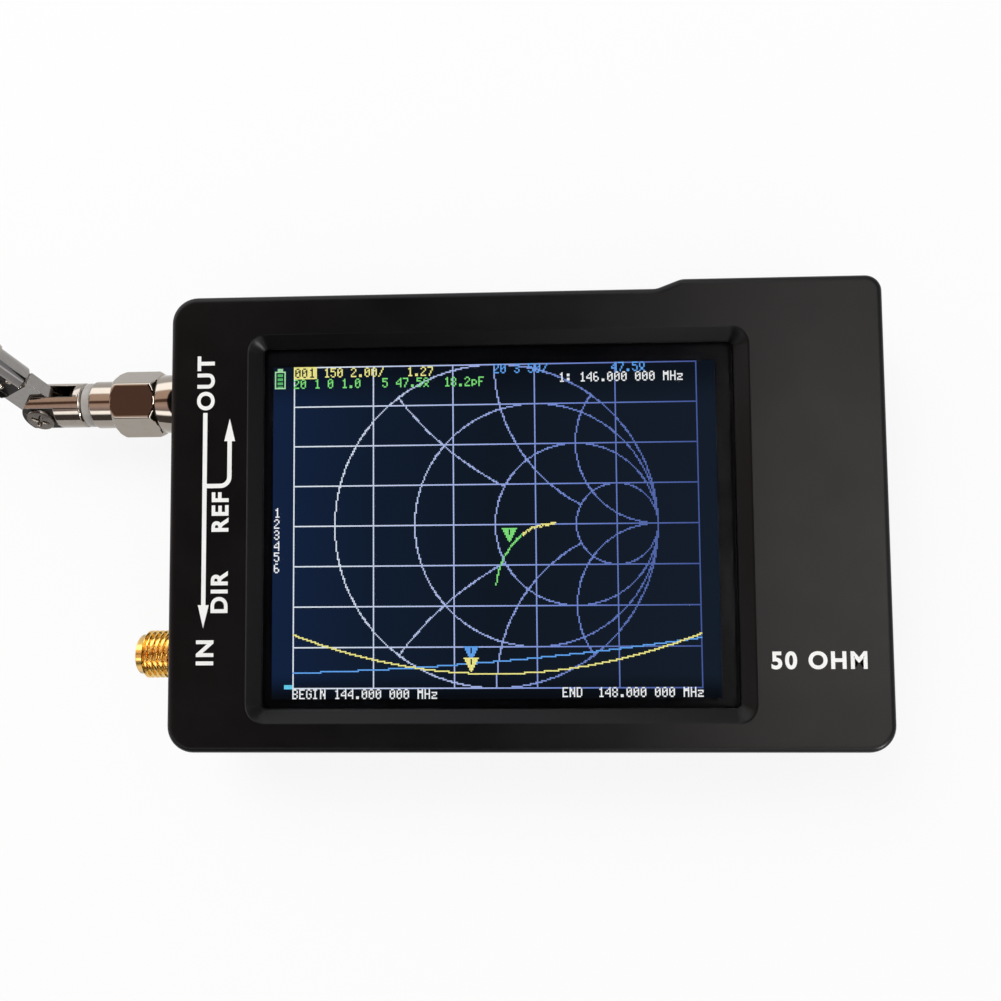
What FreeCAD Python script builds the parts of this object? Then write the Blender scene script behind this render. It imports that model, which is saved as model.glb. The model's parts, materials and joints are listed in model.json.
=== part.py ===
import FreeCAD, Part
import math
import os
import Sketcher

# A pocket antenna analyzer with a folding whip antenna on its upper port, in millimetres.
# The origin is the middle of the flat rear face, +X runs to the end away from the ports,
# +Y to the edge with the controls and +Z out of the screen.

V = FreeCAD.Vector
doc = FreeCAD.newDocument("AntennaAnalyzer")
sheet = doc.addObject("Spreadsheet::Sheet", "Sizes")


class Size:
    """A length that carries its value and its formula over the sheet's cells."""

    def __init__(self, value, formula):
        self.value = value
        self.formula = formula

    def __add__(self, other):
        other = as_size(other)
        return Size(self.value + other.value, f"({self.formula} + {other.formula})")

    def __sub__(self, other):
        other = as_size(other)
        return Size(self.value - other.value, f"({self.formula} - {other.formula})")

    def __mul__(self, other):
        other = as_size(other)
        return Size(self.value * other.value, f"({self.formula} * {other.formula})")

    def __truediv__(self, other):
        other = as_size(other)
        return Size(self.value / other.value, f"({self.formula} / {other.formula})")

    def __neg__(self):
        return Size(-self.value, f"(0 - {self.formula})")

    def __radd__(self, other):
        return as_size(other) + self

    def __rsub__(self, other):
        return as_size(other) - self

    def __rmul__(self, other):
        return as_size(other) * self


def as_size(thing):
    """Give a bare number the form of a size."""
    if isinstance(thing, Size):
        return thing
    return Size(float(thing), f"({float(thing)!r})")


def size(name, value):
    """Put a driving dimension on the sheet's next row and return it."""
    size.rows += 1
    sheet.set(f"A{size.rows}", name)
    sheet.set(f"B{size.rows}", str(value))
    sheet.setAlias(f"B{size.rows}", name)
    return Size(float(value), f"Sizes.{name}")


size.rows = 0

# Case
case_thickness = size("case_thickness", 17.0)
case_wall = size("case_wall", 1.8)
front_wall = size("front_wall", 2.0)
rear_wall = size("rear_wall", 1.6)
corner_radius = size("corner_radius", 3.4)
rim_round = size("rim_round", 1.0)
raised_edge_rise = size("raised_edge_rise", 1.2)
raised_edge_length = size("raised_edge_length", 25.15)
raised_edge_ramp = size("raised_edge_ramp", 3.2)
raised_ramp_round = size("raised_ramp_round", 2.5)
raised_corner_radius = size("raised_corner_radius", 2.1)
lip_thickness = size("lip_thickness", 0.8)
lip_height = size("lip_height", 0.9)
lip_clearance = size("lip_clearance", 0.1)
overcut = size("overcut", 1.0)
fit_gap = size("fit_gap", 0.1)
hole_gap = size("hole_gap", 0.15)
pocket_gap = size("pocket_gap", 0.4)

# Board and screws
board_top = size("board_top", 10.5)
board_thickness = size("board_thickness", 1.6)
board_end_gap = size("board_end_gap", 0.8)
board_side_gap = size("board_side_gap", 0.4)
board_corner = size("board_corner", 1.5)
screw_end_inset = size("screw_end_inset", 6.15)
screw_side_inset = size("screw_side_inset", 5.25)
screw_diameter = size("screw_diameter", 2.0)
screw_head_diameter = size("screw_head_diameter", 3.6)
screw_head_height = size("screw_head_height", 1.3)
screw_head_sink = size("screw_head_sink", 0.6)
screw_bite = size("screw_bite", 3.4)
screw_thread_gap = size("screw_thread_gap", 0.02)
screw_head_gap = size("screw_head_gap", 0.2)
boss_diameter = size("boss_diameter", 4.4)
standoff_diameter = size("standoff_diameter", 6.0)

# Screen, and the room left round it in the case
screen_port_room = size("screen_port_room", 7.75)
screen_socket_room = size("screen_socket_room", 10.25)
screen_side_room = size("screen_side_room", 1.18)
screen_switch_gap = size("screen_switch_gap", 0.12)
picture_length = size("picture_length", 57.6)
picture_width = size("picture_width", 43.2)
window_left_margin = size("window_left_margin", 1.0)
window_right_margin = size("window_right_margin", 2.0)
window_low_margin = size("window_low_margin", 0.95)
window_high_margin = size("window_high_margin", 2.25)
window_corner = size("window_corner", 0.7)
bevel_width = size("bevel_width", 1.6)
bevel_depth = size("bevel_depth", 1.6)
module_margin = size("module_margin", 3.3)
module_end_margin = size("module_end_margin", 8.6)
touch_thickness = size("touch_thickness", 1.1)
lcd_thickness = size("lcd_thickness", 0.9)
tape_gap = size("tape_gap", 0.1)
tray_thickness = size("tray_thickness", 1.9)
tray_rim = size("tray_rim", 1.2)
tray_floor = size("tray_floor", 0.5)
panel_end_inset = size("panel_end_inset", 0.2)
foam_end_inset = size("foam_end_inset", 6.0)
foam_side_inset = size("foam_side_inset", 4.0)
flex_thickness = size("flex_thickness", 0.2)
flex_width = size("flex_width", 18.0)
flex_y = size("flex_y", -6.0)
flex_level = size("flex_level", 0.3)
flex_reach = size("flex_reach", 1.6)
flex_run = size("flex_run", 0.9)
flex_seat = size("flex_seat", 0.5)
flex_round = size("flex_round", 0.4)
flex_socket_depth = size("flex_socket_depth", 2.4)
flex_socket_height = size("flex_socket_height", 1.5)
flex_socket_back = size("flex_socket_back", 1.2)
flex_latch = size("flex_latch", 0.6)
flex_socket_end = size("flex_socket_end", 1.0)

# Coaxial ports: the jack's thread is 1/4 inch
antenna_port_inset = size("antenna_port_inset", 12.545)
measure_port_inset = size("measure_port_inset", 11.605)
port_axis_height = size("port_axis_height", 8.4)
port_reach = size("port_reach", 6.7)
thread_diameter = size("thread_diameter", 6.35)
lip_end_diameter = size("lip_end_diameter", 5.3)
lip_end_length = size("lip_end_length", 1.1)
relief_diameter = size("relief_diameter", 5.6)
port_hole_clearance = size("port_hole_clearance", 0.2)
flange_side = size("flange_side", 6.4)
flange_thickness = size("flange_thickness", 1.6)
port_leg = size("port_leg", 1.0)
port_leg_length = size("port_leg_length", 4.5)
socket_diameter = size("socket_diameter", 4.6)
socket_depth = size("socket_depth", 1.9)
dielectric_diameter = size("dielectric_diameter", 4.1)
contact_diameter = size("contact_diameter", 1.27)
contact_hole = size("contact_hole", 0.96)
contact_depth = size("contact_depth", 4.0)
port_recess = size("port_recess", 0.4)

# Antenna connector
running_gap = size("running_gap", 0.06)
nut_across_flats = size("nut_across_flats", 8.0)
nut_skirt_diameter = size("nut_skirt_diameter", 8.0)
nut_skirt_length = size("nut_skirt_length", 3.65)
nut_hex_length = size("nut_hex_length", 6.1)
nut_wall_gap = size("nut_wall_gap", 0.4)
nut_end_wall = size("nut_end_wall", 2.4)
nut_turn = size("nut_turn", 2.0)
pin_diameter = size("pin_diameter", 0.9)
neck_diameter = size("neck_diameter", 5.2)
ferrule_diameter = size("ferrule_diameter", 6.46)
ferrule_length = size("ferrule_length", 3.3)
bush_diameter = size("bush_diameter", 6.0)
bush_flange = size("bush_flange", 1.1)
bush_sleeve_diameter = size("bush_sleeve_diameter", 4.4)
stub_diameter = size("stub_diameter", 3.0)
stub_head_diameter = size("stub_head_diameter", 3.7)
stub_head_length = size("stub_head_length", 0.6)
stub_depth = size("stub_depth", 0.24)
neck_length = size("neck_length", 1.2)
plug_gap = size("plug_gap", 0.6)
plug_shell_length = size("plug_shell_length", 1.4)
pin_reach = size("pin_reach", 1.6)
pin_point = size("pin_point", 0.4)
pin_head_diameter = size("pin_head_diameter", 2.4)
edge_break = size("edge_break", 0.2)
end_break = size("end_break", 0.3)

# Elbow and mast
head_diameter = size("head_diameter", 6.12)
head_length = size("head_length", 6.2)
head_end_reach = size("head_end_reach", 2.45)
head_slot_depth = size("head_slot_depth", 5.0)
tongue_thickness = size("tongue_thickness", 2.0)
tongue_width = size("tongue_width", 5.2)
head_flat = size("head_flat", 2.4)
hinge_pin_diameter = size("hinge_pin_diameter", 2.0)
hinge_head_diameter = size("hinge_head_diameter", 3.6)
hinge_head_height = size("hinge_head_height", 0.5)
hinge_flat_margin = size("hinge_flat_margin", 0.5)
hinge_fit = size("hinge_fit", 0.01)
foot_chamfer = size("foot_chamfer", 0.6)
foot_shoulder = size("foot_shoulder", 4.5)
foot_shoulder_length = size("foot_shoulder_length", 5.0)
foot_shoulder_diameter = size("foot_shoulder_diameter", 5.4)
foot_recess_width = size("foot_recess_width", 3.6)
foot_recess_end = size("foot_recess_end", 0.8)
foot_plug_length = size("foot_plug_length", 5.0)
mast_diameter = size("mast_diameter", 6.0)
mast_step = size("mast_step", 1.0)
mast_wall = size("mast_wall", 0.4)
mast_length = size("mast_length", 58.0)
mast_lip = size("mast_lip", 2.5)
mast_stagger = size("mast_stagger", 1.2)
mast_collar = size("mast_collar", 3.0)
mast_roll = size("mast_roll", 0.4)
mast_roll_depth = size("mast_roll_depth", 0.25)
tip_length = size("tip_length", 3.6)
tip_inset = size("tip_inset", 0.2)
tip_round = size("tip_round", 1.0)
foot_rivet_distance = size("foot_rivet_distance", 1.8)
foot_rivet_spread = size("foot_rivet_spread", 0.95)
foot_rivet_diameter = size("foot_rivet_diameter", 1.1)
fold_plane_tilt = size("fold_plane_tilt", 55.0)
fold_angle = size("fold_angle", 61.0)

# Controls and sockets
jog_distance = size("jog_distance", 20.15)
jog_length = size("jog_length", 8.0)
switch_depth = size("switch_depth", 3.4)
jog_height = size("jog_height", 2.4)
jog_reach = size("jog_reach", 2.6)
jog_travel = size("jog_travel", 0.4)
jog_thumb_width = size("jog_thumb_width", 3.0)
jog_thumb_length = size("jog_thumb_length", 1.6)
jog_thumb_round = size("jog_thumb_round", 0.8)
jog_arm_width = size("jog_arm_width", 1.8)
jog_arm_height = size("jog_arm_height", 0.9)
jog_swing = size("jog_swing", 1.0)
jog_pin_diameter = size("jog_pin_diameter", 0.8)
jog_pin_height = size("jog_pin_height", 1.0)
jog_pin_depth = size("jog_pin_depth", 1.2)
jog_plate_width = size("jog_plate_width", 4.4)
jog_plate_height = size("jog_plate_height", 0.5)
jog_wall = size("jog_wall", 1.0)
switch_floor = size("switch_floor", 0.4)
switch_roof = size("switch_roof", 0.3)
power_distance = size("power_distance", 11.85)
power_length = size("power_length", 6.6)
power_height = size("power_height", 1.5)
power_knob_width = size("power_knob_width", 1.5)
power_travel = size("power_travel", 2.0)
power_neck = size("power_neck", 0.6)
power_back = size("power_back", 0.8)
control_window_gap = size("control_window_gap", 0.5)
scoop_depth = size("scoop_depth", 1.0)
scoop_margin = size("scoop_margin", 1.0)
usb_y = size("usb_y", 10.0)
usb_width = size("usb_width", 8.94)
usb_height = size("usb_height", 3.26)
usb_length = size("usb_length", 7.3)
usb_sheet = size("usb_sheet", 0.3)
usb_recess = size("usb_recess", 0.8)
usb_back = size("usb_back", 1.0)
usb_tongue_inset = size("usb_tongue_inset", 0.9)
usb_tongue_width = size("usb_tongue_width", 6.7)
usb_tongue_height = size("usb_tongue_height", 0.7)

# Battery and parts under the board
battery_breadth = size("battery_breadth", 32.0)
battery_thickness = size("battery_thickness", 4.0)
battery_end_room = size("battery_end_room", 7.75)
battery_round = size("battery_round", 1.2)
battery_tape_thickness = size("battery_tape_thickness", 0.3)
battery_tape_inset = size("battery_tape_inset", 5.0)
battery_plug_side = size("battery_plug_side", 6.0)
battery_plug_height = size("battery_plug_height", 5.0)
battery_plug_distance = size("battery_plug_distance", 9.0)
battery_plug_y = size("battery_plug_y", -9.0)
battery_plug_gap = size("battery_plug_gap", 0.2)
lead_height = size("lead_height", 1.2)
lead_pitch = size("lead_pitch", 2.0)
lead_y = size("lead_y", 1.0)
cradle_thickness = size("cradle_thickness", 1.2)
cradle_height = size("cradle_height", 3.0)
cradle_inset = size("cradle_inset", 4.0)
shield_length = size("shield_length", 23.0)
shield_width = size("shield_width", 16.0)
shield_height = size("shield_height", 2.2)
shield_sheet = size("shield_sheet", 0.25)
shield_leg_gap = size("shield_leg_gap", 1.3)
shield_offset = size("shield_offset", 2.7)
chip_height = size("chip_height", 1.2)
mixer_length = size("mixer_length", 5.0)
mixer_width = size("mixer_width", 4.0)
mixer_pitch = size("mixer_pitch", 5.0)
microcontroller_x = size("microcontroller_x", 14.0)
microcontroller_y = size("microcontroller_y", 4.0)
microcontroller_side = size("microcontroller_side", 7.0)
clock_generator_x = size("clock_generator_x", -8.0)
clock_generator_y = size("clock_generator_y", 15.0)
clock_generator_side = size("clock_generator_side", 3.0)
audio_codec_x = size("audio_codec_x", 30.0)
audio_codec_y = size("audio_codec_y", 6.0)
audio_codec_side = size("audio_codec_side", 5.0)
lamp_distance = size("lamp_distance", 2.0)
lamp_pitch = size("lamp_pitch", 2.2)
lamp_length = size("lamp_length", 1.6)
lamp_width = size("lamp_width", 0.8)
lamp_height = size("lamp_height", 0.6)
lead_diameter = size("lead_diameter", 1.0)
lead_bend = size("lead_bend", 3.0)
doc.recompute()

# The case is as long and wide as the screen and what stands round it need
module_length = module_margin + picture_length + module_end_margin
module_width = module_margin + picture_width + module_margin
switch_room = screen_switch_gap + switch_depth + board_side_gap
cavity_x = (screen_port_room + module_length + screen_socket_room) / 2
cavity_y = (screen_side_room + module_width + switch_room) / 2
half_length = cavity_x + case_wall
half_width = cavity_y + case_wall
screen_x = screen_port_room + module_margin + picture_length / 2 - cavity_x
screen_y = screen_side_room + module_margin + picture_width / 2 - cavity_y

# Levels and edges that several pieces share
raised_side = half_width + raised_edge_rise
raised_edge_start = half_length - raised_edge_length
ceiling = case_thickness - front_wall
board_bottom = board_top - board_thickness
board_left = flange_thickness + hole_gap - cavity_x
board_right = cavity_x - board_end_gap
board_side = cavity_y - board_side_gap
picture_left = screen_x - picture_length / 2
picture_right = screen_x + picture_length / 2
picture_low = screen_y - picture_width / 2
picture_high = screen_y + picture_width / 2
window_left = picture_left - window_left_margin
window_right = picture_right + window_right_margin
window_low = picture_low - window_low_margin
window_high = picture_high + window_high_margin
module_left = picture_left - module_margin
module_right = picture_right + module_end_margin
module_low = picture_low - module_margin
module_high = picture_high + module_margin
touch_bottom = ceiling - touch_thickness
lcd_top = touch_bottom - tape_gap
lcd_bottom = lcd_top - lcd_thickness
tray_bottom = lcd_bottom - tray_thickness
antenna_y = half_width - antenna_port_inset
measure_y = measure_port_inset - half_width
screw_x = half_length - screw_end_inset
screw_y = half_width - screw_side_inset
screw_places = [(sx * screw_x, sy * screw_y) for sx in (-1, 1) for sy in (-1, 1)]
switch_back = board_side - switch_depth
jog_x = half_length - jog_distance
power_x = half_length - power_distance
shield_left = board_left + port_leg_length + shield_leg_gap
shield_right = shield_left + shield_length
battery_plug_left = shield_right + battery_plug_gap
battery_left = battery_plug_left + battery_plug_distance
battery_right = cavity_x - battery_end_room
usb_middle_height = board_top + usb_height / 2
parts = {}


def sub_part(label, thing):
    """Name a finished piece and put it on the list of what is written."""
    thing.Label = label
    parts[label] = thing
    return thing


def bind(thing, path, length):
    """Tie a property to a formula over the sheet."""
    thing.setExpression(path, as_size(length).formula)


def place(thing, x, y, z):
    """Tie a piece's place to formulas over the sheet."""
    for axis, length in zip("xyz", (x, y, z)):
        bind(thing, f"Placement.Base.{axis}", length)


def box(name, low, high):
    """A Part box between two corners."""
    thing = doc.addObject("Part::Box", name)
    for side, start, end in zip(("Length", "Width", "Height"), low, high):
        bind(thing, side, as_size(end) - start)
    place(thing, *low)
    return thing


def cylinder(name, radius, length, base, direction):
    """A Part cylinder that runs from its base along a direction."""
    thing = doc.addObject("Part::Cylinder", name)
    bind(thing, "Radius", radius)
    bind(thing, "Height", length)
    thing.Placement = FreeCAD.Placement(V(0, 0, 0), FreeCAD.Rotation(V(0, 0, 1), V(*direction)))
    place(thing, *base)
    return thing


def cut(name, base, tool):
    """One Part solid less another."""
    thing = doc.addObject("Part::Cut", name)
    thing.Base = base
    thing.Tool = tool
    return thing


def fuse(name, *pieces):
    """Several Part solids joined into one."""
    thing = doc.addObject("Part::MultiFuse", name)
    thing.Shapes = list(pieces)
    thing.Refine = True
    return thing


def group(name, *pieces):
    """Several separate solids kept as one node."""
    thing = doc.addObject("Part::Compound", name)
    thing.Links = list(pieces)
    return thing


def new_body(label):
    """A PartDesign body that will be a piece."""
    return sub_part(label, doc.addObject("PartDesign::Body", label))


def sketch_on(body, role, offset=0):
    """A sketch on one of the body's own origin planes, moved along its normal."""
    plane = [item for item in body.Origin.OriginFeatures if item.Role == role][0]
    sketch = body.newObject("Sketcher::SketchObject", "Sketch")
    sketch.AttachmentSupport = [(plane, "")]
    sketch.MapMode = "FlatFace"
    bind(sketch, "AttachmentOffset.Base.z", offset)
    return sketch


def constrain(sketch, length, *terms):
    """Add one constraint whose value is a formula over the sheet."""
    number = sketch.addConstraint(Sketcher.Constraint(*terms, as_size(length).value))
    name = f"{terms[0].lower()}_{number}"
    sketch.renameConstraint(number, name)
    bind(sketch, f"Constraints.{name}", length)


def draw_loop(sketch, corners):
    """Close a loop of straight lines through corners, each tied to the sketch's origin."""
    first = sketch.GeometryCount
    points = [V(as_size(x).value, as_size(y).value, 0) for x, y in corners]
    for start, end in zip(points, points[1:] + points[:1]):
        sketch.addGeometry(Part.LineSegment(start, end), False)
    for number, (x, y) in enumerate(corners):
        line = first + number
        following = first + (number + 1) % len(corners)
        sketch.addConstraint(Sketcher.Constraint("Coincident", line, 2, following, 1))
        constrain(sketch, x, "DistanceX", -1, 1, line, 1)
        constrain(sketch, y, "DistanceY", -1, 1, line, 1)
    return sketch


def draw_box(sketch, left, right, low, high):
    """Draw a rectangle."""
    return draw_loop(sketch, [(left, low), (right, low), (right, high), (left, high)])


def draw_circle(sketch, x, y, radius):
    """Draw a circle tied to the sketch's origin."""
    centre = V(as_size(x).value, as_size(y).value, 0)
    number = sketch.addGeometry(Part.Circle(centre, V(0, 0, 1), as_size(radius).value), False)
    constrain(sketch, radius, "Radius", number)
    constrain(sketch, x, "DistanceX", -1, 1, number, 3)
    constrain(sketch, y, "DistanceY", -1, 1, number, 3)
    return sketch


def draw_round_end(sketch, radius, reach, back):
    """Draw what lies outside a half circle on its +X side, its centre a little back from the origin."""
    high = [(-back, radius), (-back, reach), (reach, reach), (reach, -reach), (-back, -reach), (-back, -radius)]
    points = [V(as_size(x).value, as_size(y).value, 0) for x, y in high]
    for start, end in zip(points, points[1:]):
        sketch.addGeometry(Part.LineSegment(start, end), False)
    circle = Part.Circle(V(-as_size(back).value, 0, 0), V(0, 0, 1), as_size(radius).value)
    arc = sketch.addGeometry(Part.ArcOfCircle(circle, -math.pi / 2, math.pi / 2), False)
    for line in range(4):
        sketch.addConstraint(Sketcher.Constraint("Coincident", line, 2, line + 1, 1))
    sketch.addConstraint(Sketcher.Constraint("Coincident", 4, 2, arc, 1))
    sketch.addConstraint(Sketcher.Constraint("Coincident", arc, 2, 0, 1))
    sketch.addConstraint(Sketcher.Constraint("PointOnObject", arc, 3, -1))
    for line, (x, y) in enumerate(high[:5]):
        constrain(sketch, x, "DistanceX", -1, 1, line, 1)
        constrain(sketch, y, "DistanceY", -1, 1, line, 1)
    constrain(sketch, -back, "DistanceX", -1, 1, 4, 2)
    constrain(sketch, -back, "DistanceX", -1, 1, arc, 3)
    return sketch


def draw_stadium(sketch, left, right, low, high):
    """Draw a slot with half round ends, tied to the sketch's origin."""
    radius = (high - low) / 2
    middle = low + radius
    start = left + radius
    end = right - radius
    for first, last, level in ((start, end, low), (end, start, high)):
        sketch.addGeometry(
            Part.LineSegment(V(first.value, level.value, 0), V(last.value, level.value, 0)), False
        )
    for x, turn in ((end, -math.pi / 2), (start, math.pi / 2)):
        circle = Part.Circle(V(x.value, middle.value, 0), V(0, 0, 1), radius.value)
        sketch.addGeometry(Part.ArcOfCircle(circle, turn, turn + math.pi), False)
    for first, last in ((0, 2), (2, 1), (1, 3), (3, 0)):
        sketch.addConstraint(Sketcher.Constraint("Coincident", first, 2, last, 1))
    for arc, x in ((2, end), (3, start)):
        constrain(sketch, x, "DistanceX", -1, 1, arc, 3)
        constrain(sketch, middle, "DistanceY", -1, 1, arc, 3)
        constrain(sketch, radius, "Radius", arc)
    for line, first, last in ((0, start, end), (1, end, start)):
        constrain(sketch, first, "DistanceX", -1, 1, line, 1)
        constrain(sketch, last, "DistanceX", -1, 1, line, 2)
    return sketch


def volume_of(body):
    """The volume of a body so far."""
    doc.recompute()
    return body.Tip.Shape.Volume if body.Tip else 0.0


def pad(body, sketch, length, along=True):
    """Add a prism on a sketch, along its normal or against it."""
    before = volume_of(body)
    feature = body.newObject("PartDesign::Pad", "Pad")
    feature.Profile = sketch
    feature.Reversed = not along
    bind(feature, "Length", length)
    if volume_of(body) <= before:
        raise ValueError(f"{body.Label}: a pad added nothing")
    return feature


def pocket(body, sketch, length, along=False):
    """Cut a prism from a sketch, against its normal or along it."""
    before = volume_of(body)
    feature = body.newObject("PartDesign::Pocket", "Pocket")
    feature.Profile = sketch
    feature.Reversed = along
    bind(feature, "Length", length)
    if volume_of(body) >= before:
        raise ValueError(f"{body.Label}: a pocket cut nothing")
    return feature


def revolve(body, corners):
    """Turn a half section, given as distance along X and radius, about the X axis."""
    sketch = draw_loop(sketch_on(body, "XZ_Plane"), corners)
    feature = body.newObject("PartDesign::Revolution", "Revolution")
    feature.Profile = sketch
    feature.ReferenceAxis = (sketch, ["H_Axis"])
    feature.Angle = 360
    doc.recompute()
    return feature


def chosen_edges(body, test):
    """The last feature of a body and the names of its edges that pass a test."""
    doc.recompute()
    last = body.Tip
    names = [f"Edge{n + 1}" for n, edge in enumerate(last.Shape.Edges) if test(edge)]
    if not names:
        raise ValueError(f"{body.Label}: no edge to finish")
    return last, names


def round_edges(body, radius, test):
    """Fillet the edges that pass a test."""
    base = chosen_edges(body, test)
    feature = body.newObject("PartDesign::Fillet", "Fillet")
    feature.Base = base
    bind(feature, "Radius", radius)
    doc.recompute()
    return feature


def same(first, second):
    """Whether two lengths agree to a thousandth."""
    return abs(as_size(first).value - as_size(second).value) < 1e-3


def parallel_at(axis, places):
    """A test for straight edges along an axis that pass through given points of its plane."""
    others = [name for name in "XYZ" if name != axis]

    def test(edge):
        if len(edge.Vertexes) != 2:
            return False
        start, end = (vertex.Point for vertex in edge.Vertexes)
        across = [same(getattr(start, n.lower()), getattr(end, n.lower())) for n in others]
        if not all(across) or (end - start).Length < 1e-3:
            return False
        here = [getattr(start, n.lower()) for n in others]
        return any(same(here[0], p[0]) and same(here[1], p[1]) for p in places)

    return test


def level_at(axis, level):
    """A test for edges that lie wholly at one level of an axis."""
    return lambda edge: all(same(getattr(v.Point, axis.lower()), level) for v in edge.Vertexes)


def four_corners(x, y):
    """The four corners of a rectangle about the origin."""
    return [(sx * x, sy * y) for sx in (-1, 1) for sy in (-1, 1)]


def case_block(body, low, high):
    """The outer block of a shell, with its raised edge and rounded corners."""
    ramp_foot = raised_edge_start - raised_edge_ramp
    outline = [
        (-half_length, -half_width),
        (half_length, -half_width),
        (half_length, raised_side),
        (raised_edge_start, raised_side),
        (ramp_foot, half_width),
        (-half_length, half_width),
    ]
    sketch = draw_loop(sketch_on(body, "XY_Plane", low), outline)
    pad(body, sketch, as_size(high) - low)
    round_edges(body, corner_radius, parallel_at("Z", [outline[0], outline[1], outline[5]]))
    round_edges(body, raised_corner_radius, parallel_at("Z", [outline[2]]))
    round_edges(body, raised_ramp_round, parallel_at("Z", [outline[3], outline[4]]))


def cut_port_holes(body):
    """The round ways through the end wall for both jacks."""
    sketch = sketch_on(body, "YZ_Plane", -half_length - overcut)
    for y in (antenna_y, measure_y):
        draw_circle(sketch, y, port_axis_height, thread_diameter / 2 + port_hole_clearance)
    pocket(body, sketch, case_wall + 2 * overcut, along=True)


def cut_control_window(body, left, right, low, high):
    """A window in the raised edge, with a finger scoop round it."""
    window = draw_box(sketch_on(body, "XZ_Plane", overcut - cavity_y), left, right, low, high)
    pocket(body, window, case_wall + raised_edge_rise + 2 * overcut)
    margin = scoop_margin
    scoop = sketch_on(body, "XZ_Plane", -raised_side)
    draw_box(scoop, left - margin, right + margin, low - margin, high + margin)
    pocket(body, scoop, scoop_depth, along=True)
    corners = [(x, z) for x in (left - margin, right + margin) for z in (low - margin, high + margin)]
    round_edges(body, margin, parallel_at("Y", corners))


def make_front_shell():
    """The upper shell: bevelled window, control windows, bosses and a rebate for the lip."""
    body = new_body("front_shell")
    case_block(body, port_axis_height, case_thickness)
    round_edges(body, rim_round, level_at("Z", case_thickness))
    cavity = draw_box(sketch_on(body, "XY_Plane", port_axis_height), -cavity_x, cavity_x, -cavity_y, cavity_y)
    pocket(body, cavity, ceiling - port_axis_height, along=True)
    rebate_x = cavity_x + lip_thickness + lip_clearance
    rebate_y = cavity_y + lip_thickness + lip_clearance
    rebate = draw_box(sketch_on(body, "XY_Plane", port_axis_height), -rebate_x, rebate_x, -rebate_y, rebate_y)
    pocket(body, rebate, lip_height + lip_clearance, along=True)
    round_edges(body, corner_radius - case_wall, parallel_at("Z", four_corners(cavity_x, cavity_y)))
    rebate_round = corner_radius - case_wall + lip_thickness + lip_clearance
    round_edges(body, rebate_round, parallel_at("Z", four_corners(rebate_x, rebate_y)))
    bosses = sketch_on(body, "XY_Plane", board_top)
    pilots = sketch_on(body, "XY_Plane", board_top)
    for x, y in screw_places:
        draw_circle(bosses, x, y, boss_diameter / 2)
        draw_circle(pilots, x, y, screw_diameter / 2 + screw_thread_gap)
    pad(body, bosses, ceiling - board_top)
    pocket(body, pilots, screw_bite + pocket_gap, along=True)
    window = draw_box(
        sketch_on(body, "XY_Plane", case_thickness), window_left, window_right, window_low, window_high
    )
    pocket(body, window, front_wall)
    window_corners = [(x, y) for x in (window_left, window_right) for y in (window_low, window_high)]
    round_edges(body, window_corner, parallel_at("Z", window_corners))

    def window_rim(edge):
        inside = all(window_left.value - 1 < v.X < window_right.value + 1 for v in edge.Vertexes)
        return inside and all(same(v.Z, case_thickness) for v in edge.Vertexes)

    base = chosen_edges(body, window_rim)
    bevel = body.newObject("PartDesign::Chamfer", "Bevel")
    bevel.Base = base
    bevel.ChamferType = "Two distances"
    bind(bevel, "Size", bevel_depth)
    bind(bevel, "Size2", bevel_width)
    cut_port_holes(body)
    jog_half = jog_thumb_width / 2 + jog_swing + control_window_gap
    window_floor = board_top - fit_gap
    window_roof = board_top + jog_height + control_window_gap
    cut_control_window(body, jog_x - jog_half, jog_x + jog_half, window_floor, window_roof)
    knob_half = (power_knob_width + power_travel) / 2 + control_window_gap
    window_roof = board_top + jog_height
    cut_control_window(body, power_x - knob_half, power_x + knob_half, window_floor, window_roof)
    usb_hole = sketch_on(body, "YZ_Plane", cavity_x - overcut)
    usb_low = board_top - hole_gap
    usb_high = board_top + usb_height + hole_gap
    usb_half = usb_width / 2 + hole_gap
    draw_box(usb_hole, usb_y - usb_half, usb_y + usb_half, usb_low, usb_high)
    pocket(body, usb_hole, case_wall + 2 * overcut, along=True)
    corners = [(y, z) for y in (usb_y - usb_half, usb_y + usb_half) for z in (usb_low, usb_high)]
    round_edges(body, usb_height / 2 - usb_sheet, parallel_at("X", corners))
    return body


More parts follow.
